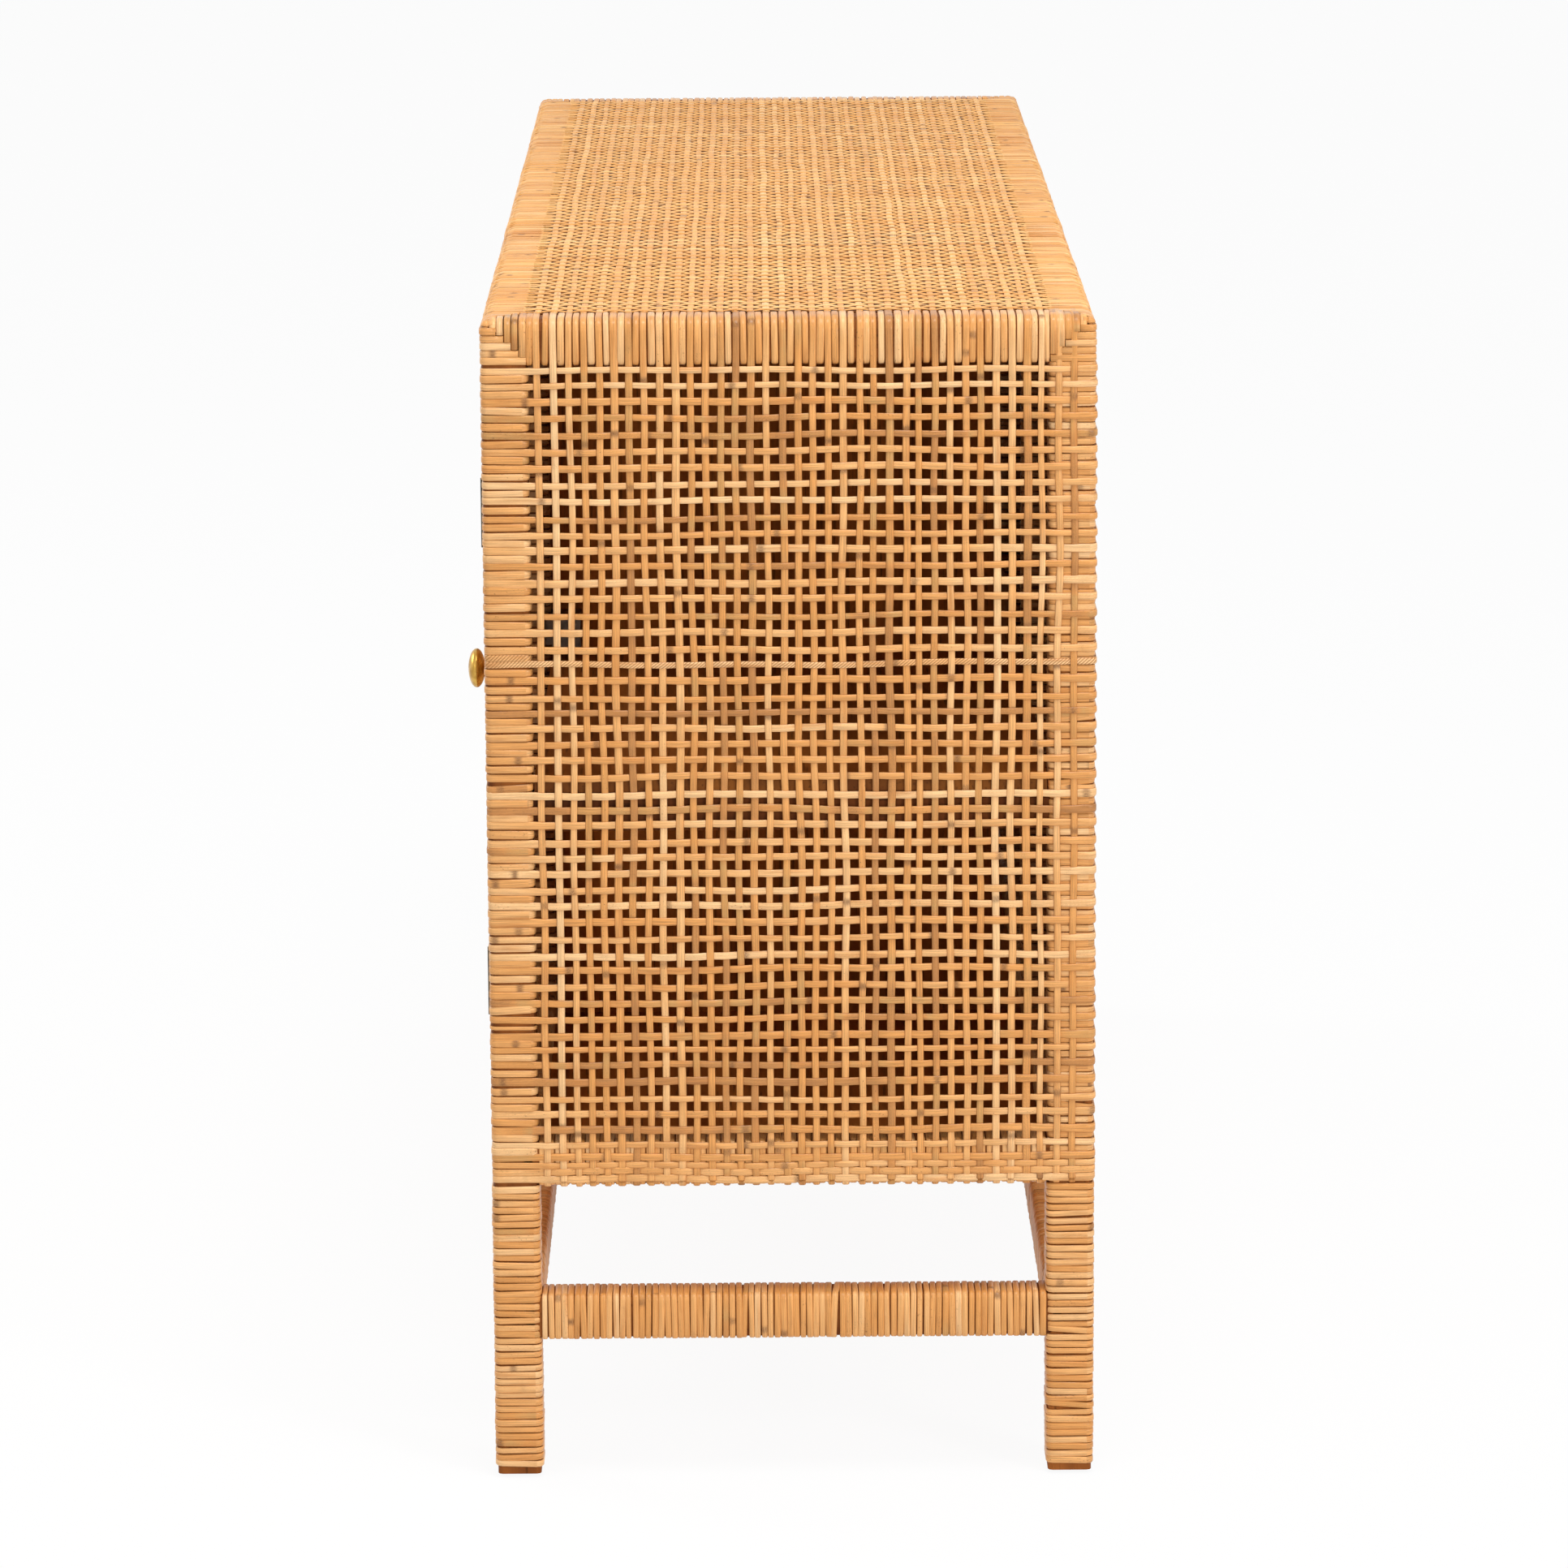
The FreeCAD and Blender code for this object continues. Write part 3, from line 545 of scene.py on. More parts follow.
@dataclass
class Hand:
    """The maker's hand: how unevenly strips are laid. One seeded draw serves the whole object."""

    draw: np.random.Generator
    width_spread: float = 0.07
    thickness_spread: float = 0.10
    drift: float = 0.26 * MM
    drift_lengths: tuple[float, float] = (0.43, 0.13)
    bulge: float = 1.3 * MM
    bulge_lengths: Point = (0.15, 0.26, 0.44)
    bulge_slants: Point = (0.10, -0.17, 0.29)
    lean: float = 0.012
    askew_share: float = 0.07
    askew_lean: float = 0.055
    bell: int = 11

    def spread(self, count: int) -> Array:
        """Draws spread as a bell round 0, cut off at 2 on both sides."""
        return self.draw.normal(size=count).clip(-2, 2)

    def widths(self, count: int, width: float) -> Array:
        """Strip widths spread a little round the given one."""
        return width * (1.0 + self.width_spread * self.spread(count))

    def thicknesses(self, count: int, thickness: float) -> Array:
        """Strip thicknesses spread a little round the given one."""
        return thickness * (1.0 + self.thickness_spread * self.spread(count))

    def tones(self, count: int) -> Array:
        """One tone from 0 to 1 a strip."""
        return self.draw.random(count)

    def places(self, ideal: Array, slack: float) -> Array:
        """Ideal places moved by a small random amount."""
        return ideal + slack * self.spread(len(ideal))

    def spaced(self, low: float, high: float, pitch: float, slack: float) -> Array:
        """Places side by side between two ends, each moved by a small random amount.

        Args:
            low: The low end.
            high: The high end.
            pitch: About how far apart they lie.
            slack: How much they are moved.

        Returns:
            The places.
        """
        count = max(1, round((high - low) / pitch))
        step = (high - low) / count
        return self.places(low + step * (np.arange(count) + 0.5), slack)

    def wander(self, strips: int, along: Array) -> Array:
        """Sideways drift of strips along their run: two slow sine waves with random phase.

        Args:
            strips: How many strips.
            along: Distance along the run at each station.

        Returns:
            Strips by stations of sideways distance.
        """
        phase = self.draw.random((2, strips, 1)) * math.tau
        uneven = 0.8 + 0.4 * self.draw.random((2, strips, 1))
        beat = np.array(self.drift_lengths)[:, None, None] * uneven
        return self.drift * np.sin(along / beat * math.tau + phase).sum(axis=0)

    def sway(self, places: Array, along: Array) -> Array:
        """Slow bulges of a weave that neighbouring strips share, still at both ends of the run.

        Three sine waves over the face, each with its own slant and phase, are averaged and faded
        by half a sine towards the ends of the run.

        Args:
            places: Where the strips lie.
            along: Distance along the run at each station.

        Returns:
            Strips by stations of sideways distance.
        """
        phase = self.draw.random(3) * math.tau
        lengths, slants = np.array(self.bulge_lengths), np.array(self.bulge_slants)
        turns = along[:, None] / lengths + places[:, None, None] / slants
        reach = (along - along.min()) / np.ptp(along)
        return self.bulge * np.sin(math.tau * turns + phase).mean(axis=2) * np.sin(math.pi * reach)

    def lumps(self, count: int, size: float) -> Array:
        """Slow unevenness from strip to strip: random numbers averaged under a smooth bell.

        Args:
            count: How many strips.
            size: The highest lump.

        Returns:
            One height a strip, from 0 to size.
        """
        draws = self.draw.normal(size=count + 2 * self.bell)
        slow = np.convolve(draws, np.hanning(self.bell), "same")[self.bell:-self.bell]
        return size * (slow - slow.min()) / (slow.max() - slow.min())

    def leans(self, count: int) -> Array:
        """Small tilts, with a few strips laid clearly askew.

        Args:
            count: How many strips.

        Returns:
            Two tilts a strip.
        """
        lean = self.draw.normal(size=(count, 2)) * self.lean
        askew = self.draw.random((count, 1)) < self.askew_share
        return np.where(askew, self.draw.normal(size=(count, 2)) * self.askew_lean, lean)


@dataclass
class StripSet:
    """Rattan strips gathered into one piece, and the hand that lays them."""

    name: str
    body: str
    finish: Material
    stands_for: tuple[str, ...]
    hand: Hand
    points: list[Array] = field(default_factory=list)
    corners: list[Array] = field(default_factory=list)
    counts: list[Array] = field(default_factory=list)
    charts: list[Array] = field(default_factory=list)
    tones: list[Array] = field(default_factory=list)
    used: int = 0

    def lay(
        self,
        path: Array,
        outward: Array,
        width: Array,
        thickness: Array,
        tone: Array,
        closed: bool = False,
        section: Section = Section.FULL,
    ) -> None:
        """Add strips: the section carried along each path.

        A point of a strip is its path's point, plus the section's place times the width along the
        direction square to the run and to outward, plus the section's height times the thickness
        along the direction square to both. An open strip is capped at both ends.

        Args:
            path: Strips by stations by 3: the middle of each strip's underside.
            outward: Which way the strip's upper side faces at each station.
            width: Widths by strips, or by strips and stations.
            thickness: One thickness a strip.
            tone: One number from 0 to 1 a strip, read by the finish; 1 more marks a scored strip.
            closed: Whether the paths are closed loops.
            section: The outline that is carried.
        """
        outline = np.array(section.value)
        strips, stations = path.shape[:2]
        around = len(outline)
        if closed:
            run = unit(np.roll(path, -1, axis=1) - np.roll(path, 1, axis=1))
        else:
            run = unit(np.gradient(path, axis=1))
        side = unit(np.cross(run, outward))
        lift = np.cross(side, run)
        wide = np.broadcast_to(width if width.ndim == 2 else width[:, None], (strips, stations))
        over = (outline[:, 0] * wide[..., None])[..., None]
        up = (outline[:, 1] * thickness[:, None])[:, None, :, None]
        placed = path[:, :, None] + side[:, :, None] * over + lift[:, :, None] * up
        self.points.append(placed.reshape(-1, 3))
        self.tones.append(np.repeat(tone, stations * around))

        index = self.used + np.arange(strips * stations * around).reshape(strips, stations, around)
        step = np.linalg.norm(np.diff(path, axis=1, append=path[:, :1]), axis=2)
        end = np.cumsum(step, axis=1)
        spans = stations if closed else stations - 1
        here, ahead = index[:, :spans], np.roll(index, -1, axis=1)[:, :spans]
        place = outline[:, 0] + 0.5
        onward = np.roll(place, -1)
        self.add_faces(
            np.stack([here, ahead, np.roll(ahead, -1, axis=2), np.roll(here, -1, axis=2)], axis=-1),
            np.stack([end - step, end, end, end - step], axis=-1)[:, :spans, None],
            np.stack([place, place, onward, onward], axis=-1),
        )
        if not closed:
            caps = np.stack([index[:, 0], index[:, -1, ::-1]])
            far = np.stack([np.zeros(strips), end[:, -2]])[..., None]
            self.add_faces(caps, far, np.stack([place, place[::-1]])[:, None])
        self.used += index.size

    def add_faces(self, faces: Array, along: Array, across: Array) -> None:
        """Add faces that all have the same number of corners, with their part of the UV map.

        Args:
            faces: The corners' points, the last axis round each face.
            along: The corners' places along the strip.
            across: Their places across it.
        """
        self.corners.append(faces.ravel())
        self.counts.append(np.full(faces.size // faces.shape[-1], faces.shape[-1]))
        chart = (np.broadcast_to(part, faces.shape) for part in (along, across))
        self.charts.append(np.stack([*chart], axis=-1).reshape(-1, 2))

    def build(self) -> None:
        """Make the piece, dress it and set it on its body."""
        counts = np.concatenate(self.counts)
        mesh = bpy.data.meshes.new(self.name)
        mesh.vertices.add(self.used)
        mesh.vertices.foreach_set("co", np.concatenate(self.points).astype(np.float32).ravel())
        mesh.loops.add(int(counts.sum()))
        mesh.loops.foreach_set("vertex_index", np.concatenate(self.corners).astype(np.int32))
        mesh.polygons.add(len(counts))
        mesh.polygons.foreach_set("loop_start", (np.cumsum(counts) - counts).astype(np.int32))
        chart = mesh.uv_layers.new(name=STRIP_UV)
        chart.data.foreach_set("uv", np.concatenate(self.charts).astype(np.float32).ravel())
        tone = mesh.attributes.new(TONE, "FLOAT", "POINT")
        tone.data.foreach_set("value", np.concatenate(self.tones).astype(np.float32))
        mesh.update(calc_edges=True)
        mesh.shade_smooth()
        mount(mesh, self.finish, self.body, self.stands_for)


@dataclass(frozen=True)
class WrappedBar:
    """A square core along one axis, wrapped with rattan loops laid side by side."""

    axis: Axis
    core: Box
    radius: float = POST_EDGE
    width: float = 4.6 * MM
    thickness: float = 1.25 * MM
    soft_edge: tuple[int, int] = (0, 0)
    loose: float = 0.2 * MM

    def ring(self) -> tuple[Array, Array]:
        """The core's outline: a rectangle with rounded corners, three points a corner and one a side.

        The corner on the sides that soft_edge names is rounded more than the others.

        Returns:
            The points and the outward directions, each 16 by 2.
        """
        half = self.axis.across @ self.core.size / 2
        turn = np.arange(4)[:, None] * (math.pi / 2) + np.linspace(0.0, math.pi / 2, 3)
        arcs = np.stack([np.cos(turn), np.sin(turn)], axis=-1)
        quarter = np.array([(1, 1), (-1, 1), (-1, -1), (1, -1)])
        radius = np.where((quarter == self.soft_edge).all(axis=1), TOP_EDGE, self.radius)[:, None]
        bends = (quarter * (half - radius))[:, None] + radius[..., None] * arcs
        middles = (bends[:, -1] + np.roll(bends, -1, axis=0)[:, 0]) / 2
        points = np.concatenate([bends, middles[:, None]], axis=1).reshape(-1, 2)
        outward = np.concatenate([arcs, arcs[:, -1:]], axis=1).reshape(-1, 2)
        return points, outward

    def at(self, flat: Array, along: Array) -> Array:
        """Points of the frame from their places across the core's middle line and along its axis."""
        middle_line = self.core.middle * (1.0 - self.axis.way)
        return middle_line + flat @ self.axis.across + along[..., None] * self.axis.way

    def wrap(
        self,
        strips: StripSet,
        places: Array,
        section: Section = Section.FULL,
        share: Array | float = 1.0,
        mark: Array | float = 0.0,
        taper: float = 1.0,
    ) -> None:
        """Lay one closed loop round the core at each place along it.

        A loop's place along the bar is its own place plus two small tilts times the ring's point.

        Args:
            strips: The set that takes the loops.
            places: Where the loops lie along the axis.
            section: The strips' outline.
            share: Each loop's share of the usual width.
            mark: 1 for a scored loop.
            taper: Share of the width at the upper edge that lies across from the soft edge.
        """
        hand, count = strips.hand, len(places)
        points, outward = self.ring()
        rise = self.loose * hand.draw.random((count, 1, 1))
        path = self.at(points + rise * outward, places[:, None] + hand.leans(count) @ points.T)
        across, above = (points * self.soft_edge / points.max(axis=0)).T
        away = (1.0 - across) / 2 * (1.0 + above) / 2
        strips.lay(
            path,
            outward @ self.axis.across,
            (hand.widths(count, self.width) * share)[:, None] * (1.0 - (1.0 - taper) * away),
            hand.thicknesses(count, self.thickness),
            hand.tones(count) + mark,
            closed=True,
            section=section,
        )


@dataclass(frozen=True)
class Tuck:
    """How strips leave a panel at one edge: round it, down the side, in behind it, and up again."""

    side: float
    behind: float = 0.0
    up: float = 0.0
    lift: float = 0.0
    radius: float = DOOR_EDGE

    def bend(self, across: float, height: float, over: Array, upward: Array) -> tuple[Array, Array]:
        """A quarter of a circle round a centre: its points and its outward directions."""
        facing = np.stack([over, upward], axis=-1)
        return np.array([across, height]) + self.radius * facing, facing

    def path(self) -> tuple[Array, Array]:
        """The bend at an edge at 0 with the panel towards +a, from the strip's end to the face.

        Returns:
            Points (a, height) and outward directions, each n by 2.
        """
        radius, side, behind = self.radius, self.side, self.behind
        cos, sin = np.cos(QUARTER_TURN), np.sin(QUARTER_TURN)
        upper = self.bend(radius, -radius, -cos, sin)
        lower = self.bend(radius, radius - side, -sin, -cos)
        inner = self.bend(behind - radius, radius - side, cos, -sin)
        if not behind:
            tip, way, bends = [(0.0, -side), (0.0, -(side + radius) / 2)], (-1.0, 0.0), [upper]
        elif not self.up:
            tip, way, bends = [(behind, -side)], (0.0, -1.0), [lower, upper]
        else:
            tip, way, bends = [(behind, self.up - side)], (1.0, 0.0), [inner, lower, upper]
        points, facing = (np.concatenate(parts) for parts in zip((tip, [way] * len(tip)), *bends))
        return points + self.lift * facing, facing


@dataclass(frozen=True)
class Run:
    """One direction of a weave: where its strips lie, where they run from and to, and how.

    ground gives the height of what carries the strips at places along the run, rise is each strip's own
    ground within the weave, lump the highest bulge over the borders, border the share of the width there.
    """

    way: Array
    places: Array
    start: float
    stop: float
    ground: Profile
    head: Tuck | None = None
    tail: Tuck | None = None
    border: Array | float = 1.0
    rise: Array | float = 0.0
    lump: float = 0.0
    scored: int | None = None


@dataclass
class Weave:
    """Strips in two directions over one face, each passing over and under the other in turn."""

    outward: Array
    level: float
    weft: Run
    warp: Run
    width: float = 4.5 * MM
    thickness: float = 1.1 * MM
    swing: float = 0.62 * MM
    fade: float = 6.0 * MM
    steps: int = 4
    steps_before: int = 6
    steps_after: int = 4
    section: Section = Section.FULL
    sway_share: float = 1.0

    def stations(self, run: Run, crossings: Array) -> Array:
        """Places along a run: a few to each crossing, and some over the plain borders.

        Args:
            run: The direction.
            crossings: Where strips of the other direction lie.

        Returns:
            The places in rising order.
        """
        count = len(crossings)
        start = run.start + (run.head.radius if run.head else 0.0)
        stop = run.stop - (run.tail.radius if run.tail else 0.0)
        before = np.linspace(start, crossings[0], self.steps_before, endpoint=False)
        fine = np.interp(np.arange((count - 1) * self.steps + 1) / self.steps, np.arange(count), crossings)
        after = np.linspace(crossings[-1], stop, self.steps_after + 1)[1:]
        return np.concatenate([before, fine, after])

    def heights(self, run: Run, crossings: Array, sign: Array, lump: Array) -> tuple[Array, Array, Array]:
        """Heights of a direction's strips over the face.

        The height is the ground, or the strip's own rise where that is higher, plus the swing times
        the cosine of pi times the crossing's number, which is turned over from strip to strip.

        Args:
            run: The direction.
            crossings: Where strips of the other direction lie.
            sign: Whether a strip starts over or under.
            lump: How much higher each strip lies over the plain borders.

        Returns:
            The stations, strips by stations of height, and how far each station is in the weave.
        """
        where = self.stations(run, crossings)
        number = np.interp(where, crossings, np.arange(len(crossings)))
        inside = ease(where, crossings[0] - self.fade, crossings[0])
        inside = inside * (1.0 - ease(where, crossings[-1], crossings[-1] + self.fade))
        ground = np.interp(where, *np.array(run.ground).T)
        rise = np.broadcast_to(run.rise, len(sign))
        base = np.maximum(ground, rise[:, None] * inside) + lump[:, None] * (1.0 - inside)
        return where, base + sign[:, None] * self.swing * inside * np.cos(math.pi * number), inside

    def strands(self, strips: StripSet, run: Run, other: Run, first: float) -> None:
        """Lay all strips of one direction: a tuck, the woven run and a tuck.

        Args:
            strips: The set that takes them.
            run: The direction.
            other: The direction that crosses it.
            first: 1 if the first strip starts over the other direction, -1 if under.
        """
        hand, count = strips.hand, len(run.places)
        lump = hand.lumps(count, run.lump) if run.lump else np.zeros(count)
        sign = np.where(np.arange(count) % 2 == 0, first, -first)
        where, height, inside = self.heights(run, other.places, sign, lump)
        flat = np.stack([np.broadcast_to(where, height.shape), height], axis=-1)
        facing = np.broadcast_to((0.0, 1.0), flat.shape)
        for tuck, edge, order in ((run.head, run.start, 1), (run.tail, run.stop, -1)):
            if tuck:
                bend, turned = (part[::order] * np.array([order, 1.0]) for part in tuck.path())
                bend = bend + np.array([edge, 0.0]) + lump[:, None, None] * turned
                turned = np.broadcast_to(turned, bend.shape)
                flat = np.concatenate([bend, flat][::order], axis=1)
                facing = np.concatenate([turned, facing][::order], axis=1)
                inside = np.concatenate([np.zeros(bend.shape[1]), inside][::order])
        border = np.broadcast_to(run.border, count)[:, None]
        tone = hand.tones(count)
        if run.scored is not None:
            tone[run.scored] += 1.0
        reach = flat[0, :, 0]
        drift = run.places[:, None] + hand.wander(count, reach)
        drift = drift + self.sway_share * hand.sway(run.places, reach)
        height = self.level + flat[..., 1:]
        strips.lay(
            flat[..., :1] * run.way + drift[..., None] * other.way + height * self.outward,
            facing[..., :1] * run.way + facing[..., 1:] * self.outward,
            hand.widths(count, self.width)[:, None] * (border + (1.0 - border) * inside),
            hand.thicknesses(count, self.thickness),
            tone,
            section=self.section,
        )

    def wefts(self, strips: StripSet) -> None:
        """Lay the strips that run across the face."""
        self.strands(strips, self.weft, self.warp, 1.0)

    def warps(self, strips: StripSet) -> None:
        """Lay the strips that run along the face."""
        self.strands(strips, self.warp, self.weft, -1.0)


@dataclass
class Rattanwork:
    """Work in rattan: the hand that lays its strips and their finish."""

    hand: Hand
    finish: Material

    def start(self, name: str, body: str, *nodes: str) -> StripSet:
        """An empty set of strips on a body, in the place of CAD nodes."""
        return StripSet(name, body, self.finish, nodes, self.hand)

    def weave_both(self, weave: Weave, name: str, node: str) -> None:
        """Build a weave's two directions as a piece each.

        Args:
            weave: The weave.
            name: The pieces' name, with a gap for the direction's word.
            node: The CAD node that they stand for.
        """
        for word, lay in (("wefts", weave.wefts), ("warps", weave.warps)):
            strips = self.start(name.format(word), CARCASS, node)
            lay(strips)
            strips.build()


@dataclass
class WovenEnds(Rattanwork):
    """The open woven panels at both ends, whose strips run on over the frame round them."""

    columns: int = 36
    rows: int = 49
    first_column: float = 7.0 * MM
    last_column: float = 15.0 * MM
    column_slack: float = 0.5 * MM
    top_row: float = 3.2 * MM
    bottom_row: float = 2.1 * MM
    row_slack: float = 0.6 * MM
    dense_rows: tuple[float, ...] = (10.5 * MM, 15.6 * MM, 20.1 * MM, 25.2 * MM)
    open_lift: float = 0.25 * MM
    layer_lift: float = 1.0 * MM
    slope: float = 6.0 * MM
    back_slope: float = 10.0 * MM
    lap: float = 1.0 * MM
    scored_height: float = 555.0 * MM

    def __post_init__(self) -> None:
        """Read the frame."""
        self.front, self.back = (Box.of(End.RIGHT.post(flank)) for flank in FLANKS)
        self.top, self.bottom = Box.of("top_rails_end"), Box.of("bottom_rails_end")

    def columns_at(self) -> Array:
        """Places of the upright strips, from front to back, the last two over the back post."""
        start = self.front.high[1] + self.first_column
        stop = self.back.low[1] + self.last_column
        return self.hand.places(np.linspace(start, stop, self.columns), self.column_slack)

    def rows_at(self) -> Array:
        """Heights of the level strips, from the foot up: the dense foot, then the open panel."""
        foot = self.bottom.high[2]
        ideal = np.linspace(foot - self.bottom_row, self.top.low[2] - self.top_row, self.rows)
        open_rows = self.hand.places(ideal, self.row_slack)
        return np.sort(np.concatenate([foot - np.array(self.dense_rows), open_rows]))

    def build(self, end: End, columns: Array) -> Array:
        """Build one end's two sets of strips.

        Args:
            end: Which end.
            columns: Where the upright strips lie.

        Returns:
            The heights of the level strips.
        """
        rows = self.rows_at()
        lift, layer = self.open_lift, self.layer_lift
        front, back, top, bottom = self.front, self.back, self.top, self.bottom
        dense = rows < bottom.high[2] + self.lap
        weave = Weave(
            outward=end.value * X_WAY,
            level=front.high[0],
            weft=Run(
                way=Y_WAY,
                places=rows,
                start=front.low[1],
                stop=back.high[1],
                ground=(
                    (front.high[1], 0.0),
                    (front.high[1] + self.slope, lift),
                    (back.low[1] - self.back_slope, lift),
                    (back.low[1] + self.lap, layer),
                ),
                head=Tuck(side=front.size[0], behind=12 * MM, radius=POST_EDGE),
                tail=Tuck(side=26 * MM, lift=layer, radius=POST_EDGE),
                border=np.where(dense, 0.98, 1.12),
                rise=np.where(dense, layer, 0.0),
                scored=int(np.abs(rows - self.scored_height).argmin()) if end is End.RIGHT else None,
            ),
            warp=Run(
                way=Z_WAY,
                places=columns,
                start=bottom.low[2],
                stop=top.high[2],
                ground=(
                    (bottom.high[2] - 2 * self.lap, layer),
                    (bottom.high[2] + self.slope, lift),
                    (top.low[2] - self.slope, lift),
                    (top.low[2], 0.0),
                ),
                head=Tuck(side=14 * MM, lift=layer, radius=POST_EDGE),
                tail=Tuck(side=31 * MM, radius=TOP_EDGE),
                rise=np.where(columns > back.low[1] - 2 * self.lap, layer, 0.0),
            ),
            width=4.7 * MM,
            fade=4.0 * MM,
        )
        name = end.name.lower()
        self.weave_both(weave, "end_{}_" + name, f"end_weave_{name}")
        return rows


@dataclass
class WovenTop(Rattanwork):
    """The woven top: the ends' weave laid over the board, its rows running on over the long rails."""

    rows: int = 136
    row_slack: float = 0.45 * MM
    lift: float = 0.52 * MM
    slope: float = 5.0 * MM
    under: float = 1.0 * MM

    def build(self, columns: Array) -> Array:
        """Build the top's rows in a left and a right half, and its lengthwise strips.

        Args:
            columns: Where the lengthwise strips lie, from front to back.

        Returns:
            Where the level rows lie along the cabinet.
        """
        face, rail = Box.of("top_weave"), Box.of("top_rails_long")
        rows = self.hand.places(face.ruled(Axis.X, face.size[0] / self.rows / 2, self.rows), self.row_slack)
        edge = Tuck(side=rail.size[2], behind=9 * MM, radius=TOP_EDGE)
        weave = Weave(
            outward=Z_WAY,
            level=rail.high[2],
            weft=Run(
                way=Y_WAY,
                places=rows,
                start=rail.low[1],
                stop=rail.high[1],
                ground=face.raised(Axis.Y, self.slope, self.lift),
                head=edge,
                tail=edge,
                lump=0.8 * MM,
            ),
            warp=Run(
                way=X_WAY,
                places=columns[columns < face.high[1] - 2 * self.under],
                start=face.low[0] - self.under,
                stop=face.high[0] + self.under,
                ground=((face.low[0], self.lift), (face.high[0], self.lift)),
            ),
            width=4.6 * MM,
            thickness=0.9 * MM,
            swing=0.52 * MM,
            steps=3,
            section=Section.LIGHT,
            sway_share=0.4,
        )
        half = self.rows // 2
        for name, part in (("left", rows[:half]), ("right", rows[half:])):
            strips = self.start(f"top_rows_{name}", CARCASS, "top_weave", "top_rail_wraps")
            replace(weave, weft=replace(weave.weft, places=part)).wefts(strips)
            strips.build()
        lengthwise = self.start("top_lengthwise", CARCASS, "top_weave")
        weave.warps(lengthwise)
        lengthwise.build()
        return rows


@dataclass
class WovenBack(Rattanwork):
    """The weave on the back board."""

    column_pitch: float = 11.6 * MM
    column_slack: float = 0.3 * MM
    row_pitch: float = 10.8 * MM
    row_slack: float = 0.4 * MM
    inset: float = 6.5 * MM
    border: float = 0.6 * MM
    lift: float = 0.42 * MM
    under: float = 1.0 * MM

    def ruled(self, face: Box, axis: Axis, pitch: float, slack: float) -> Array:
        """Places of the strips along an axis, with a closing strip at both borders."""
        between = face.ruled(axis, self.inset, int(face.size[axis.value] / pitch))
        return self.hand.places(np.sort(np.concatenate([between, face.ruled(axis, self.border, 2)])), slack)

    def build(self) -> None:
        """Build the back's two sets of strips."""
        face = Box.of("back_weave")
        columns = self.ruled(face, Axis.X, self.column_pitch, self.column_slack)
        rows = self.ruled(face, Axis.Z, self.row_pitch, self.row_slack)
        level = ((0.0, self.lift), (1.0, self.lift))
        weft, warp = (
            Run(axis.way, places, *face.ruled(axis, -self.under, 2), level)
            for axis, places in ((Axis.X, rows), (Axis.Z, columns))
        )
        weave = Weave(Y_WAY, face.low[1], weft, warp, steps=2, section=Section.LIGHT)
        weave = replace(weave, thickness=0.95 * MM, swing=0.42 * MM)
        self.weave_both(weave, "back_{}", "back_weave")


@dataclass
class MitredCorners(Rattanwork):
    """The stepped corners of the top, where strips from three edges meet."""

    strips: int = 6
    slack: float = 0.15 * MM
    radius: float = TOP_EDGE
    width: float = 4.75 * MM
    thickness: float = 1.25 * MM
    past_bend: float = 0.6 * MM
    steepest: float = 0.9
    longer: float = 0.45
    shorter: float = -0.55

    def edge(
        self,
        out: StripSet,
        corner: Array,
        edge: Array,
        faces: tuple[Array, Array],
        extra: tuple[float, float],
        radius: float,
    ) -> None:
        """Lay the strips that bend over one edge near a corner, each longer than the one before.

        A strip's two legs are as long as its distance from the corner plus a share of the pitch. A strip
        nearer to the corner than the radius lies on the ball that rounds the corner: it is sunk and leans.

        Args:
            out: The set that takes the strips.
            corner: The core's corner.
            edge: Direction from the corner along the edge.
            faces: Outward directions of the faces of the two legs.
            extra: Shares of the pitch added to the two legs.
            radius: How the edge is rounded.
        """
        first, second = faces
        pitch = Box.of(End.RIGHT.post("front")).size[0] / self.strips
        offset = (np.arange(self.strips) + 0.5) * pitch
        places = self.hand.places(offset, self.slack)
        least = radius + self.past_bend
        legs = [np.maximum(offset + share * pitch, least)[:, None, None] for share in extra]
        facing = np.cos(QUARTER_TURN)[:, None] * first + np.sin(QUARTER_TURN)[:, None] * second
        lean = np.clip(1.0 - places / self.radius, 0.0, self.steepest)[:, None, None]
        round_way = np.sqrt(1.0 - lean * lean)
        sunk = self.radius * (1.0 - round_way)
        bend = -radius * (first + second) + (radius - sunk) * facing
        head = -legs[0] * second - sunk * first
        tail = -legs[1] * first - sunk * second
        out.lay(
            np.concatenate([head, bend, tail], axis=1) + corner + places[:, None, None] * edge,
            round_way * np.concatenate([first[None], facing, second[None]]) - lean * edge,
            self.hand.widths(self.strips, self.width),
            self.hand.thicknesses(self.strips, self.thickness),
            self.hand.tones(self.strips),
        )

    def build(self) -> None:
        """Build all four corners as one piece."""
        out = self.start("corner_mitres", CARCASS, "top_rail_wraps", "post_wraps")
        for end in End:
            for flank, sign in FLANKS.items():
                post = Box.of(end.post(flank))
                over, face = end.value * X_WAY, sign * Y_WAY
                corner = np.where(over + face + Z_WAY > 0, post.high, post.low)
                long, short = self.longer, self.shorter
                self.edge(out, corner, -Z_WAY, (over, face), (long, long), POST_EDGE)
                self.edge(out, corner, -face, (over, Z_WAY), (short, long), self.radius)
                self.edge(out, corner, -over, (face, Z_WAY), (short, short), self.radius)
        out.build()


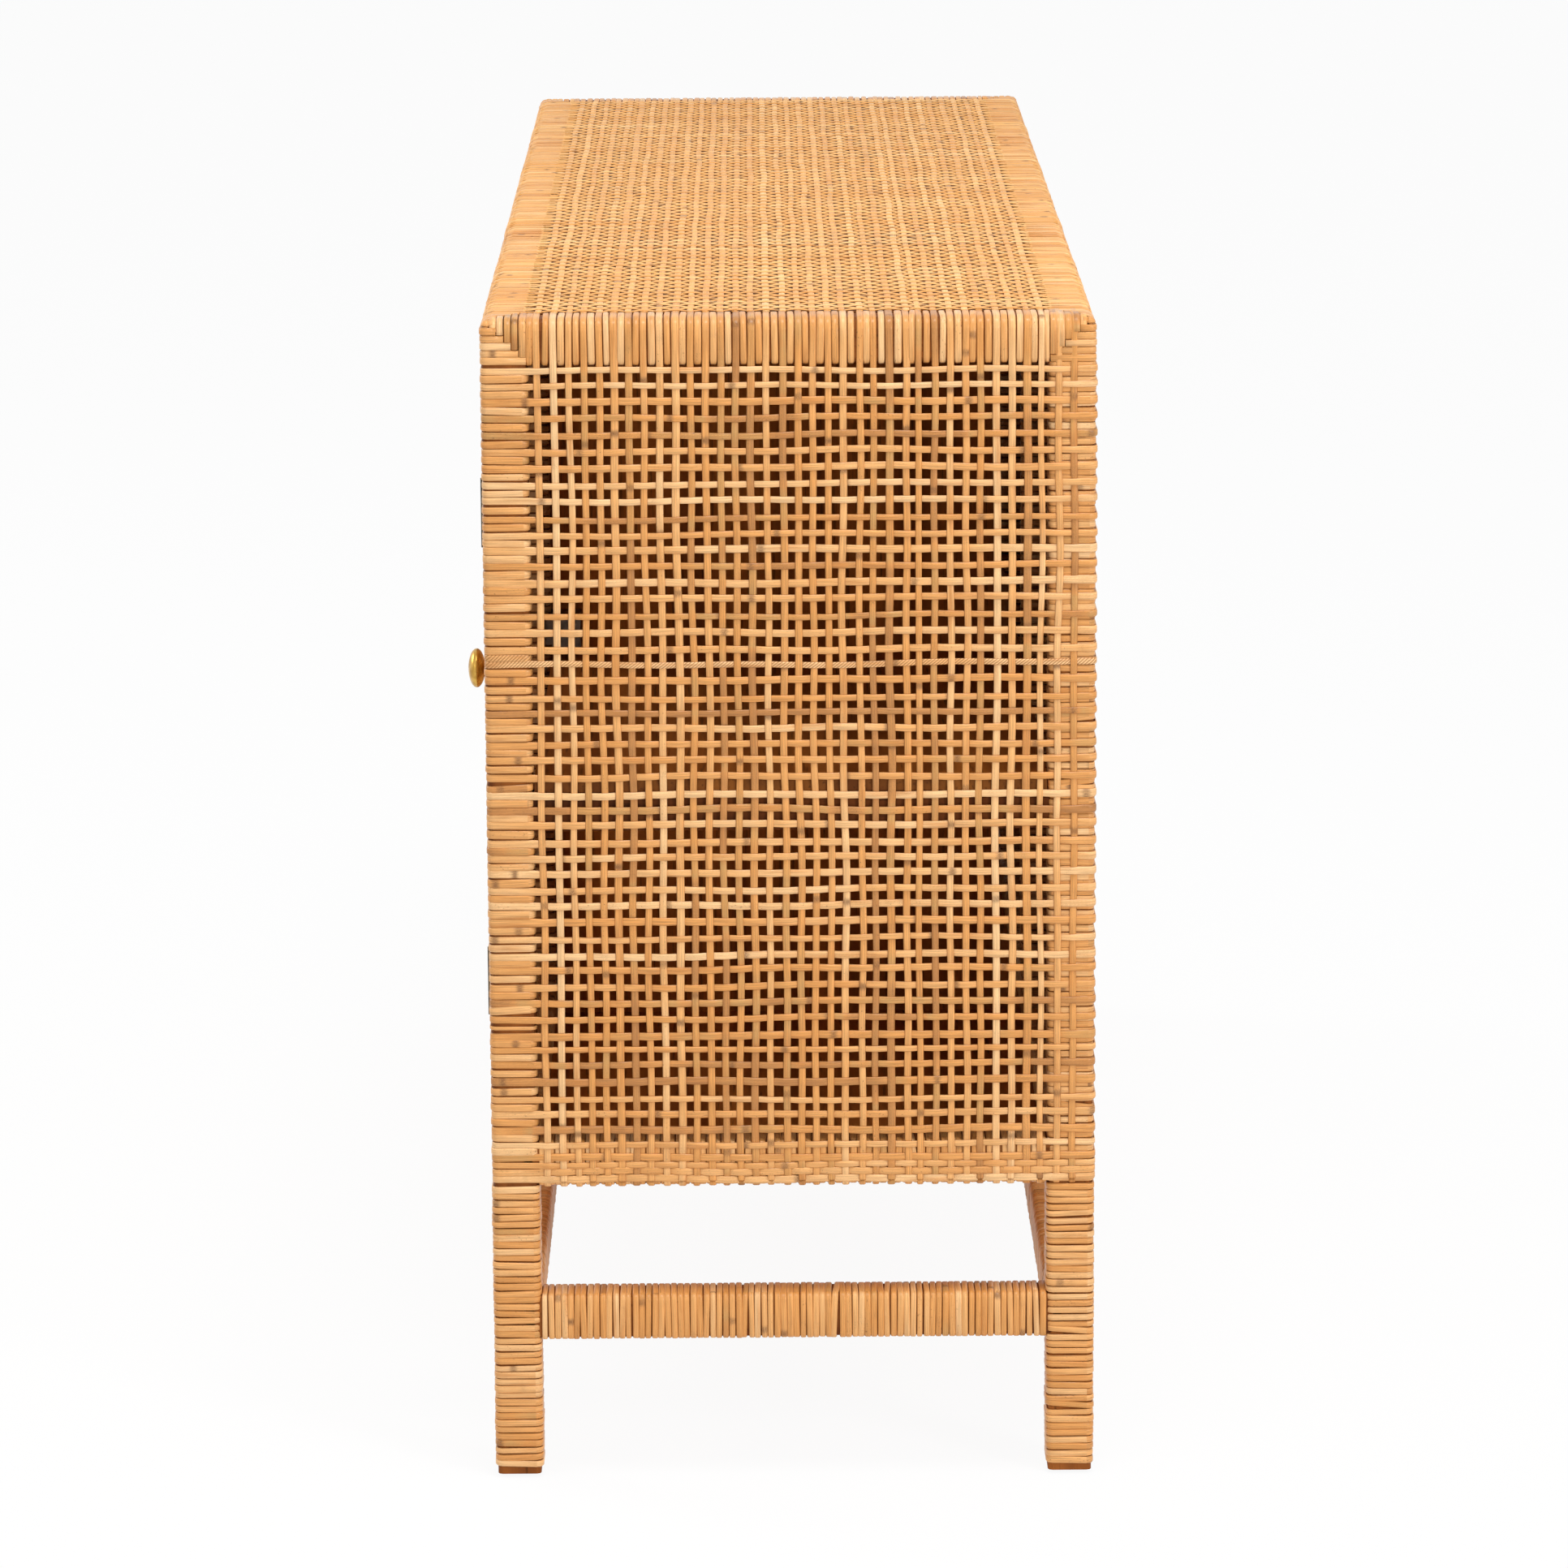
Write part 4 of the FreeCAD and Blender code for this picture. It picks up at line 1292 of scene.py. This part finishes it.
@dataclass
class WrappedFrame(Rattanwork):
    """Posts, rails and stretchers with their rattan wrapping."""

    woods: dict[Axis, Material]
    leg_pitch: float = 4.7 * MM
    rail_pitch: float = 5.0 * MM
    stretcher_pitch: float = 4.3 * MM
    slack: float = 0.12 * MM
    bare_foot: float = 5.0 * MM
    leg_gap: float = 1.0 * MM
    open_gap: float = 7.0 * MM
    split_height: float = 307.5 * MM
    scored_height: float = 560.5 * MM
    marked_reach: float = 5.2 * MM
    half_strip: float = 2.4 * MM
    skin: float = 1.5 * MM
    core_sink: float = 0.05 * MM
    post_short: float = 8.0 * MM

    def rails(self, node: str, line: Line) -> tuple[Box, Box]:
        """The two square bars of a node of rails."""
        both = Box.of(f"{node}_{line.word}")
        return both.pair(line.apart, both.size[2])

    def top_bars(self, line: Line) -> list[WrappedBar]:
        """The two rails of the top in one direction, each with its outer upper edge rounded more."""
        pairs = zip(self.rails("top_rails", line), line.edges)
        return [WrappedBar(line.axis, rail, soft_edge=edge) for rail, edge in pairs]

    def core(self, axis: Axis, nodes: tuple[str, ...], bars: list[WrappedBar], short: float = 0.0) -> None:
        """Build cores along one axis: each outline carried from end to end and closed at both.

        Args:
            axis: The axis.
            nodes: The CAD nodes that the cores stand for.
            bars: The bars.
            short: How much is left off at the high end.
        """
        points, faces = [], []
        for number, bar in enumerate(bars):
            outline, outward = bar.ring()
            count = len(outline)
            ends = bar.core.ruled(axis, 0.0, 2) - np.array([0.0, short])
            points.append(bar.at(outline - self.core_sink * outward, ends[:, None]).reshape(-1, 3))
            low = number * 2 * count + np.arange(count)
            high = low + count
            quads = np.stack([low, np.roll(low, -1), np.roll(high, -1), high], axis=-1)
            faces += [*quads.tolist(), low[::-1].tolist(), high.tolist()]
        mesh = bpy.data.meshes.new(f"cores_along_{axis.name.lower()}")
        mesh.from_pydata(np.concatenate(points), [], faces)
        mount(mesh, self.woods[axis], CARCASS, nodes)

    def cores(self) -> None:
        """Build the wooden cores of posts, rails and stretchers, one piece for each axis."""
        posts = tuple(end.post(flank) for end in End for flank in FLANKS)
        self.core(Axis.Z, posts, [WrappedBar(Axis.Z, Box.of(post)) for post in posts], self.post_short)
        for line in Line:
            lower = [bar for node in ("bottom_rails", "stretchers") for bar in self.rails(node, line)]
            bars = self.top_bars(line) + [WrappedBar(line.axis, bar) for bar in lower]
            nodes = tuple(f"{node}_{line.word}" for node in ("top_rails", "bottom_rails", "stretchers"))
            self.core(line.axis, nodes, bars)

    def posts(self, rows: dict[End, Array]) -> None:
        """Wrap the four corner posts: legs closely, the body between its level strips.

        Args:
            rows: Heights of each end's level strips.
        """
        strips = self.start("post_loops", CARCASS, "post_wraps")
        body_low = Box.of("bottom_rails_end").low[2]
        body_high = Box.of("top_rails_end").low[2]
        for end, level in rows.items():
            between = halfway(level)[np.diff(level) > self.open_gap]
            split = np.abs(between - self.split_height) < self.marked_reach
            scored = np.abs(between - self.scored_height) < self.marked_reach
            for flank in FLANKS:
                post = Box.of(end.post(flank))
                bar = WrappedBar(Axis.Z, post)
                foot = post.low[2] + self.bare_foot
                leg = self.hand.spaced(foot, body_low - self.leg_gap, self.leg_pitch, self.slack)
                replace(bar, width=4.5 * MM, thickness=1.5 * MM).wrap(strips, leg)
                if flank == "front":
                    share, mark = np.where(split, 0.5, 1.0), np.where(scored, 1.0, 0.0)
                    replace(bar, width=5.2 * MM).wrap(strips, between, share=share, mark=mark)
                else:
                    close = self.hand.spaced(body_low, body_high, self.rail_pitch, self.slack)
                    replace(bar, width=4.9 * MM, thickness=0.85 * MM).wrap(strips, close)
        strips.build()

    def top_rails(self, columns: Array, top_rows: Array) -> None:
        """Wrap the top's rails between the strips that run on from the weave.

        Args:
            columns: Where the end panels' upright strips lie.
            top_rows: Where the top's level rows lie.
        """
        strips = self.start("top_rail_loops", CARCASS, "top_rail_wraps")
        post_face = Box.of("top_weave").high[1]
        own = columns[columns < post_face]
        spare = (post_face - self.skin + own[-1] + self.half_strip) / 2
        places = np.concatenate([[columns[0] - 2 * self.half_strip], halfway(own), [spare + self.skin]])
        share = np.ones(len(places))
        share[-1] = (post_face + self.skin - own[-1] - self.half_strip) / (2 * self.half_strip)
        for bar in self.top_bars(Line.END):
            replace(bar, width=4.5 * MM).wrap(strips, places, share=share)
        for bar in self.top_bars(Line.LONG):
            replace(bar, width=4.9 * MM).wrap(strips, halfway(top_rows), Section.LIGHT, taper=0.18)
        strips.build()

    def lower_bars(self) -> None:
        """Wrap the bottom rails, the stretchers and the inner posts."""
        inside = Box.of("top_weave")
        # Width and thickness of the strips, on the end bars and then on the long ones
        plain = (4.2 * MM, 1.25 * MM)
        for name, node, pitch, end_strip, long_strip in (
            ("bottom_rail", "bottom_rails", self.rail_pitch, (4.8 * MM, 0.85 * MM), (4.85 * MM, 1.25 * MM)),
            ("stretcher", "stretchers", self.stretcher_pitch, plain, plain),
        ):
            strips = self.start(f"{name}_loops", CARCASS, f"{name}_wraps")
            for line, section, (width, thickness) in (
                (Line.END, Section.FULL, end_strip),
                (Line.LONG, Section.LIGHT, long_strip),
            ):
                for rail in self.rails(node, line):
                    places = self.hand.spaced(*inside.ruled(line.axis, 0.0, 2), pitch, self.slack)
                    bar = WrappedBar(line.axis, rail, width=width, thickness=thickness)
                    bar.wrap(strips, places, section)
            strips.build()

        strips = self.start("inner_post_loops", CARCASS, "inner_post_wraps")
        sleeve = Box.of("inner_post_wraps")
        thick = Box.of("inner_posts_front").size[1]
        for flank in FLANKS:
            for post in Box.of(f"inner_posts_{flank}").pair(Axis.X, thick):
                places = self.hand.spaced(*sleeve.ruled(Axis.Z, 0.0, 2), self.rail_pitch, self.slack)
                bar = WrappedBar(Axis.Z, post, radius=DOOR_EDGE, width=4.8 * MM)
                bar.wrap(strips, places, Section.LIGHT)
        strips.build()


@dataclass
class WovenDoor(Rattanwork):
    """One door: a wrapped frame with an open weave like the ends'."""

    name: str
    column_pitch: float = 9.9 * MM
    column_slack: float = 0.3 * MM
    row_pitch: float = 10.8 * MM
    row_slack: float = 0.4 * MM
    inset: float = 6.0 * MM
    lift: float = 0.25 * MM
    skin: float = 1.5 * MM
    half_strip: float = 2.3 * MM
    end_loops: int = 7
    side_share: float = 0.85

    def __post_init__(self) -> None:
        """Read the door's wooden frame and opening."""
        self.body = f"door_{self.name}"
        self.core, self.opening = Box.of(f"{self.body}_stiles"), Box.of(f"{self.body}_weave")
        self.stile = self.opening.low[0] - self.core.low[0] - self.skin

    def ruled(self, axis: Axis, pitch: float, slack: float) -> Array:
        """Places of the strips in the opening along an axis."""
        count = round(self.opening.size[axis.value] / pitch)
        return self.hand.places(self.opening.ruled(axis, self.inset, count), slack)

    def build(self) -> None:
        """Build the door's woven face and the loops between its strips."""
        core, body = self.core, self.body
        columns = self.ruled(Axis.X, self.column_pitch, self.column_slack)
        rows = self.ruled(Axis.Z, self.row_pitch, self.row_slack)
        edge = Tuck(side=core.size[1], behind=self.stile, up=core.size[1] - 2 * self.skin)
        weft, warp = (
            Run(axis.way, places, *core.ruled(axis, 0.0, 2), ground, edge, edge)
            for axis, places, ground in (
                (Axis.X, rows, self.opening.raised(Axis.X, self.inset, self.lift)),
                (Axis.Z, columns, self.opening.raised(Axis.Z, self.inset, self.lift)),
            )
        )
        weave = Weave(-Y_WAY, -core.low[1], weft, warp, steps=3)
        face = self.start(f"{body}_strips", body, f"{body}_weave", f"{body}_wrap")
        weave.wefts(face)
        weave.warps(face)
        face.build()
        self.loops(columns, rows)

    def loops(self, columns: Array, rows: Array) -> None:
        """Wrap the door's stiles and rails between the strips that run on from the weave.

        Args:
            columns: Where upright strips lie.
            rows: Where level strips lie.
        """
        core, opening = self.core, self.opening
        strips = self.start(f"{self.body}_loops", self.body, f"{self.body}_wrap")
        share = (np.arange(self.end_loops) + 0.5) / self.end_loops
        foot = core.low[2] + share * (rows[0] - self.half_strip - core.low[2])
        head = core.high[2] - share * (core.high[2] - rows[-1] - self.half_strip)
        places = np.concatenate([foot, halfway(rows), head])
        for stile in core.pair(Axis.X, self.stile):
            WrappedBar(Axis.Z, stile, radius=DOOR_EDGE, width=5.3 * MM).wrap(strips, places)
        first = (opening.low[0] + columns[0] - self.half_strip) / 2
        last = (opening.high[0] + columns[-1] + self.half_strip) / 2
        across = np.concatenate([[first, last], halfway(columns)])
        narrow = np.concatenate([np.full(2, self.side_share), np.ones(len(columns) - 1)])
        for rail in core.pair(Axis.Z, self.stile):
            WrappedBar(Axis.X, rail, radius=DOOR_EDGE, width=4.8 * MM).wrap(strips, across, share=narrow)
        strips.build()


@dataclass
class BrassKnob:
    """A turned brass knob: a lens-shaped head on a waisted neck with a small base.

    neck gives radius and distance from the door in millimetres.
    """

    name: str
    finish: Material
    segments: int = 64
    half_head: float = 6.0 * MM
    head_steps: int = 21
    head_start: float = math.radians(-62.0)
    neck: Profile = ((6.5, 0.0), (6.5, 1.4), (5.9, 2.0), (4.4, 3.4), (4.0, 6.0), (4.3, 10.0), (6.0, 13.6))

    def outline(self, reach: float, radius: float) -> Array:
        """Radius and distance from the door along the knob: base, neck, then half an ellipse but its tip.

        Args:
            reach: How far the knob stands out.
            radius: The head's radius.

        Returns:
            The outline from the base towards the tip, n by 2.
        """
        turn = np.linspace(self.head_start, math.pi / 2, self.head_steps, endpoint=False)
        head = np.stack([radius * np.cos(turn), reach - self.half_head * (1.0 - np.sin(turn))], axis=-1)
        return np.concatenate([np.array(self.neck) * MM, head])

    def build(self) -> None:
        """Turn the outline about the knob's own axis, close both ends and set it on the door."""
        node = f"door_{self.name}_knob"
        box = Box.of(node)
        outline = self.outline(box.size[1], box.size[0] / 2)
        turn = np.linspace(0.0, math.tau, self.segments, endpoint=False)
        ring = np.stack([np.cos(turn), np.zeros_like(turn), np.sin(turn)], axis=-1)
        foot = np.array([box.middle[0], box.high[1], box.middle[2]])
        points = foot + outline[:, None, :1] * ring - outline[:, None, 1:] * Y_WAY
        poles = np.array([foot, foot - box.size[1] * Y_WAY])
        index = np.arange(len(outline) * self.segments).reshape(-1, self.segments)
        turned = np.roll(index, -1, axis=1)
        quads = np.stack([index[:-1], turned[:-1], turned[1:], index[1:]], axis=-1).reshape(-1, 4)
        base = np.stack([np.full(self.segments, index.size), turned[0], index[0]], axis=-1)
        tip = np.stack([np.full(self.segments, index.size + 1), index[-1], turned[-1]], axis=-1)
        mesh = bpy.data.meshes.new(f"{node}_turned")
        faces = [face for part in (quads, base, tip) for face in part.tolist()]
        mesh.from_pydata(np.concatenate([points.reshape(-1, 3), poles]), [], faces)
        mesh.shade_smooth()
        mount(mesh, self.finish, f"door_{self.name}", (node,))


@dataclass
class Woodwork:
    """The boards, shelves and door frames, which keep their CAD shapes and get stained grain."""

    woods: dict[Axis, Material]
    inner: tuple[Colour, Colour] = ((0.36, 0.098, 0.014, 1.0), (0.77, 0.25, 0.039, 1.0))
    # A much darker copy of the stain: painted shade for the mid rails, which lie in shadow behind the end
    # weave
    deep: tuple[Colour, Colour] = ((0.05, 0.012, 0.002, 1.0), (0.14, 0.036, 0.006, 1.0))

    def dress(self) -> None:
        """Give every wooden node a stain with its own grain: lighter inside, and on the mid rails a much
        darker copy that paints the shade they lie in.
        """
        cover(StainedWood(Axis.Y, "shade_darkened", *self.deep).make(), "mid_rails_end")
        cover(self.woods[Axis.X], "top_board", "back_board", *(f"door_{door}_rails" for door in DOORS))
        stiles = (f"door_{door}_stiles" for door in DOORS)
        cover(self.woods[Axis.Z], "inner_posts_front", "inner_posts_back", *stiles)
        for grain, nodes in (
            (Axis.X, ("bottom_board", *(f"shelf_{bay}" for bay in DOORS))),
            (Axis.Y, ("shelf_cleats",)),
            (Axis.Z, ("partition_right", "partition_left")),
        ):
            cover(StainedWood(grain, "inner_stained", *self.inner).make(), *nodes)


@dataclass
class Hardware:
    """Hinges, catches, screws and glides, which keep their CAD shapes."""

    bronze: AgedMetal = AgedMetal(
        "dark_bronze", (0.16, 0.115, 0.07, 1.0), (0.06, 0.045, 0.03, 1.0), 0.34, 0.55
    )
    zinc: AgedMetal = AgedMetal("zinc_steel", (0.34, 0.31, 0.26, 1.0), (0.18, 0.16, 0.13, 1.0), 0.32, 0.5)
    glide: MouldedGlide = MouldedGlide()

    def dress(self) -> None:
        """Give every piece of hardware its metal or plastic."""
        leaves = (f"door_{door}_hinge_leaves" for door in DOORS)
        small = (f"door_{door}_{kind}" for door in DOORS for kind in ("knob_screw", "strike_plate"))
        cover(self.bronze.make(), "hinge_leaves_frame", "hinge_pins", *leaves)
        cover(self.zinc.make(), "catches", *small)
        cover(self.glide.make(), "leg_glides")


def stand(thing: bpy.types.Object, right: Array, up: Array, back: Array, place: Point) -> None:
    """Turn a lamp or camera by its three axes, set it at a place and put it in the scene.

    Args:
        thing: The lamp or camera.
        right: Its X axis.
        up: Its Y axis.
        back: Its Z axis, away from what it points at.
        place: Where it stands.
    """
    pose = np.eye(4)
    pose[:3] = np.stack([right, up, back, np.array(place)], axis=1)
    thing.matrix_world = Matrix(pose.tolist())
    bpy.context.scene.collection.objects.link(thing)


@dataclass(frozen=True)
class SoftLamp:
    """A square soft lamp: its place, what it points at, its power in watts and its side."""

    name: str
    place: Point
    aim: Point
    power: float
    size: float

    def hang(self) -> None:
        """Hang the lamp."""
        data = bpy.data.lights.new(self.name, "AREA")
        data.energy, data.size = self.power, self.size
        back = unit(np.array(self.place) - np.array(self.aim))
        right = unit(np.cross(Z_WAY, back))
        stand(bpy.data.objects.new(self.name, data), right, np.cross(back, right), back, self.place)


@dataclass
class Studio:
    """A pale floor, soft light and the camera at the photograph's viewing angle."""

    camera_place: Point = (5.00811, -0.00911, 1.39491)
    pitch: float = 0.20879
    yaw: float = 0.00424
    roll: float = -0.00611
    focal_pixels: float = 8360.7
    image_pixels: float = 1932.0
    sensor: float = 36.0
    sight: float = 200.0
    floor_half: float = 40.0
    floor_colour: Colour = (0.86, 0.86, 0.86, 1.0)
    floor_glow: float = 0.93
    sky_light: float = 0.58
    lamps: tuple[SoftLamp, ...] = (
        SoftLamp("key", (2.9, 2.2, 1.5), (0.5, 0.0, 0.4), 40.5, 0.7),
        SoftLamp("fill", (3.4, -3.2, 1.8), (0.3, 0.0, 0.4), 12.0, 1.6),
        SoftLamp("front", (-1.6, -3.6, 2.0), (0.0, 0.0, 0.4), 48.0, 1.6),
        SoftLamp("top", (1.3, 0.2, 3.25), (0.3, 0.0, 0.7), 48.0, 1.0),
    )

    def camera(self) -> None:
        """Make the camera from its place, pitch, yaw and roll.

        The view runs along -X turned by the yaw, tipped down by the pitch; roll turns the picture.
        """
        ahead = np.array([-math.cos(self.yaw), math.sin(self.yaw), 0.0])
        right = np.array([math.sin(self.yaw), math.cos(self.yaw), 0.0])
        view = ahead * math.cos(self.pitch) - Z_WAY * math.sin(self.pitch)
        up = ahead * math.sin(self.pitch) + Z_WAY * math.cos(self.pitch)
        level = right * math.cos(self.roll) + up * math.sin(self.roll)
        upright = up * math.cos(self.roll) - right * math.sin(self.roll)
        data = bpy.data.cameras.new("camera")
        data.sensor_width = self.sensor
        data.lens = self.focal_pixels / self.image_pixels * self.sensor
        data.clip_end = self.sight
        camera = bpy.data.objects.new("camera", data)
        stand(camera, level, upright, -view, self.camera_place)
        bpy.context.scene.camera = camera

    def backdrop(self, sheet: ShaderSheet, lit: Node, shown: Node, share: float) -> Node:
        """Mix what a background gives as light with what it shows.

        Args:
            sheet: The sheet of the floor or sky.
            lit: The shader for rays that carry light.
            shown: The shader for rays that show the background straight, in gloss or through glass.
            share: How much of shown those rays get.

        Returns:
            The mixed shader.
        """
        path = sheet.place("LightPath").outputs
        seen = sheet.math("MAXIMUM", path["Is Glossy Ray"], path["Is Transmission Ray"])
        seen = sheet.math("MAXIMUM", path["Is Camera Ray"], seen)
        return sheet.place("MixShader", sheet.times(seen, share), lit.outputs[0], shown.outputs[0])

    def floor(self) -> None:
        """Lay a pale matt floor that keeps the object's shadow."""
        sheet = ShaderSheet.named("pale_floor")
        matt = sheet.place("BsdfDiffuse", Color=self.floor_colour)
        glow = sheet.place("Emission", Color=WHITE, Strength=1.0)
        mesh = bpy.data.meshes.new("floor")
        corners = self.floor_half * np.array([(-1, -1, 0), (1, -1, 0), (1, 1, 0), (-1, 1, 0)])
        mesh.from_pydata(corners, [], [(0, 1, 2, 3)])
        mesh.materials.append(sheet.finish(self.backdrop(sheet, matt, glow, self.floor_glow)))
        floor = bpy.data.objects.new("floor", mesh)
        bpy.context.scene.collection.objects.link(floor)

    def sky(self) -> None:
        """A plain sky: white where it is seen, and a lower level as light."""
        sheet = ShaderSheet(bpy.data.worlds.new("studio"))
        light, white = (
            sheet.place("Background", Color=WHITE, Strength=power) for power in (self.sky_light, 1.0)
        )
        bpy.context.scene.world = sheet.finish(self.backdrop(sheet, light, white, 1.0), "OutputWorld")

    def build(self) -> None:
        """Set up camera, floor, sky and lamps."""
        self.camera()
        self.floor()
        self.sky()
        for lamp in self.lamps:
            lamp.hang()
        bpy.context.scene.view_settings.view_transform = "Standard"
        log.info("studio ready")


def main() -> None:
    """Build the pieces in order."""
    logging.basicConfig(level=logging.INFO, format="%(message)s")
    hand = Hand(np.random.default_rng(SEED))
    rattan = RattanFinish().make()
    # The top's finish: a duller coat for real wear, and a lighter, paler tint that paints the light the top
    # catches from above
    top_light_tint = (1.12, 1.18, 1.10, 1.0)
    worn_and_lit = RattanFinish("rattan_peel_worn_and_lit", tint=top_light_tint, rim_and_gap_shade_share=0.42, tone_spread=0.6, coat=0.03).make()
    # The frame's loops take more painted shade at their sides, between neighbouring loops
    bound = RattanFinish("rattan_peel_bound", rim_and_gap_shade_share=0.62, tone_spread=0.75).make()
    brass = AgedMetal("antique_brass", (0.70, 0.43, 0.10, 1.0), (0.44, 0.24, 0.042, 1.0), 0.22, 0.38).make()
    woods = {grain: StainedWood(grain).make() for grain in Axis}

    ends = WovenEnds(hand, rattan)
    columns = ends.columns_at()
    rows = {end: ends.build(end, columns) for end in End}
    top_rows = WovenTop(hand, worn_and_lit).build(columns)
    MitredCorners(hand, rattan).build()
    wrapped = WrappedFrame(hand, bound, woods)
    wrapped.cores()
    wrapped.posts(rows)
    wrapped.top_rails(columns, top_rows)
    wrapped.lower_bars()
    WovenBack(hand, rattan).build()
    for name in DOORS:
        WovenDoor(hand, rattan, name).build()
        BrassKnob(name, brass).build()
    Woodwork(woods).dress()
    Hardware().dress()
    Studio().build()


if __name__ == "__main__":
    main()
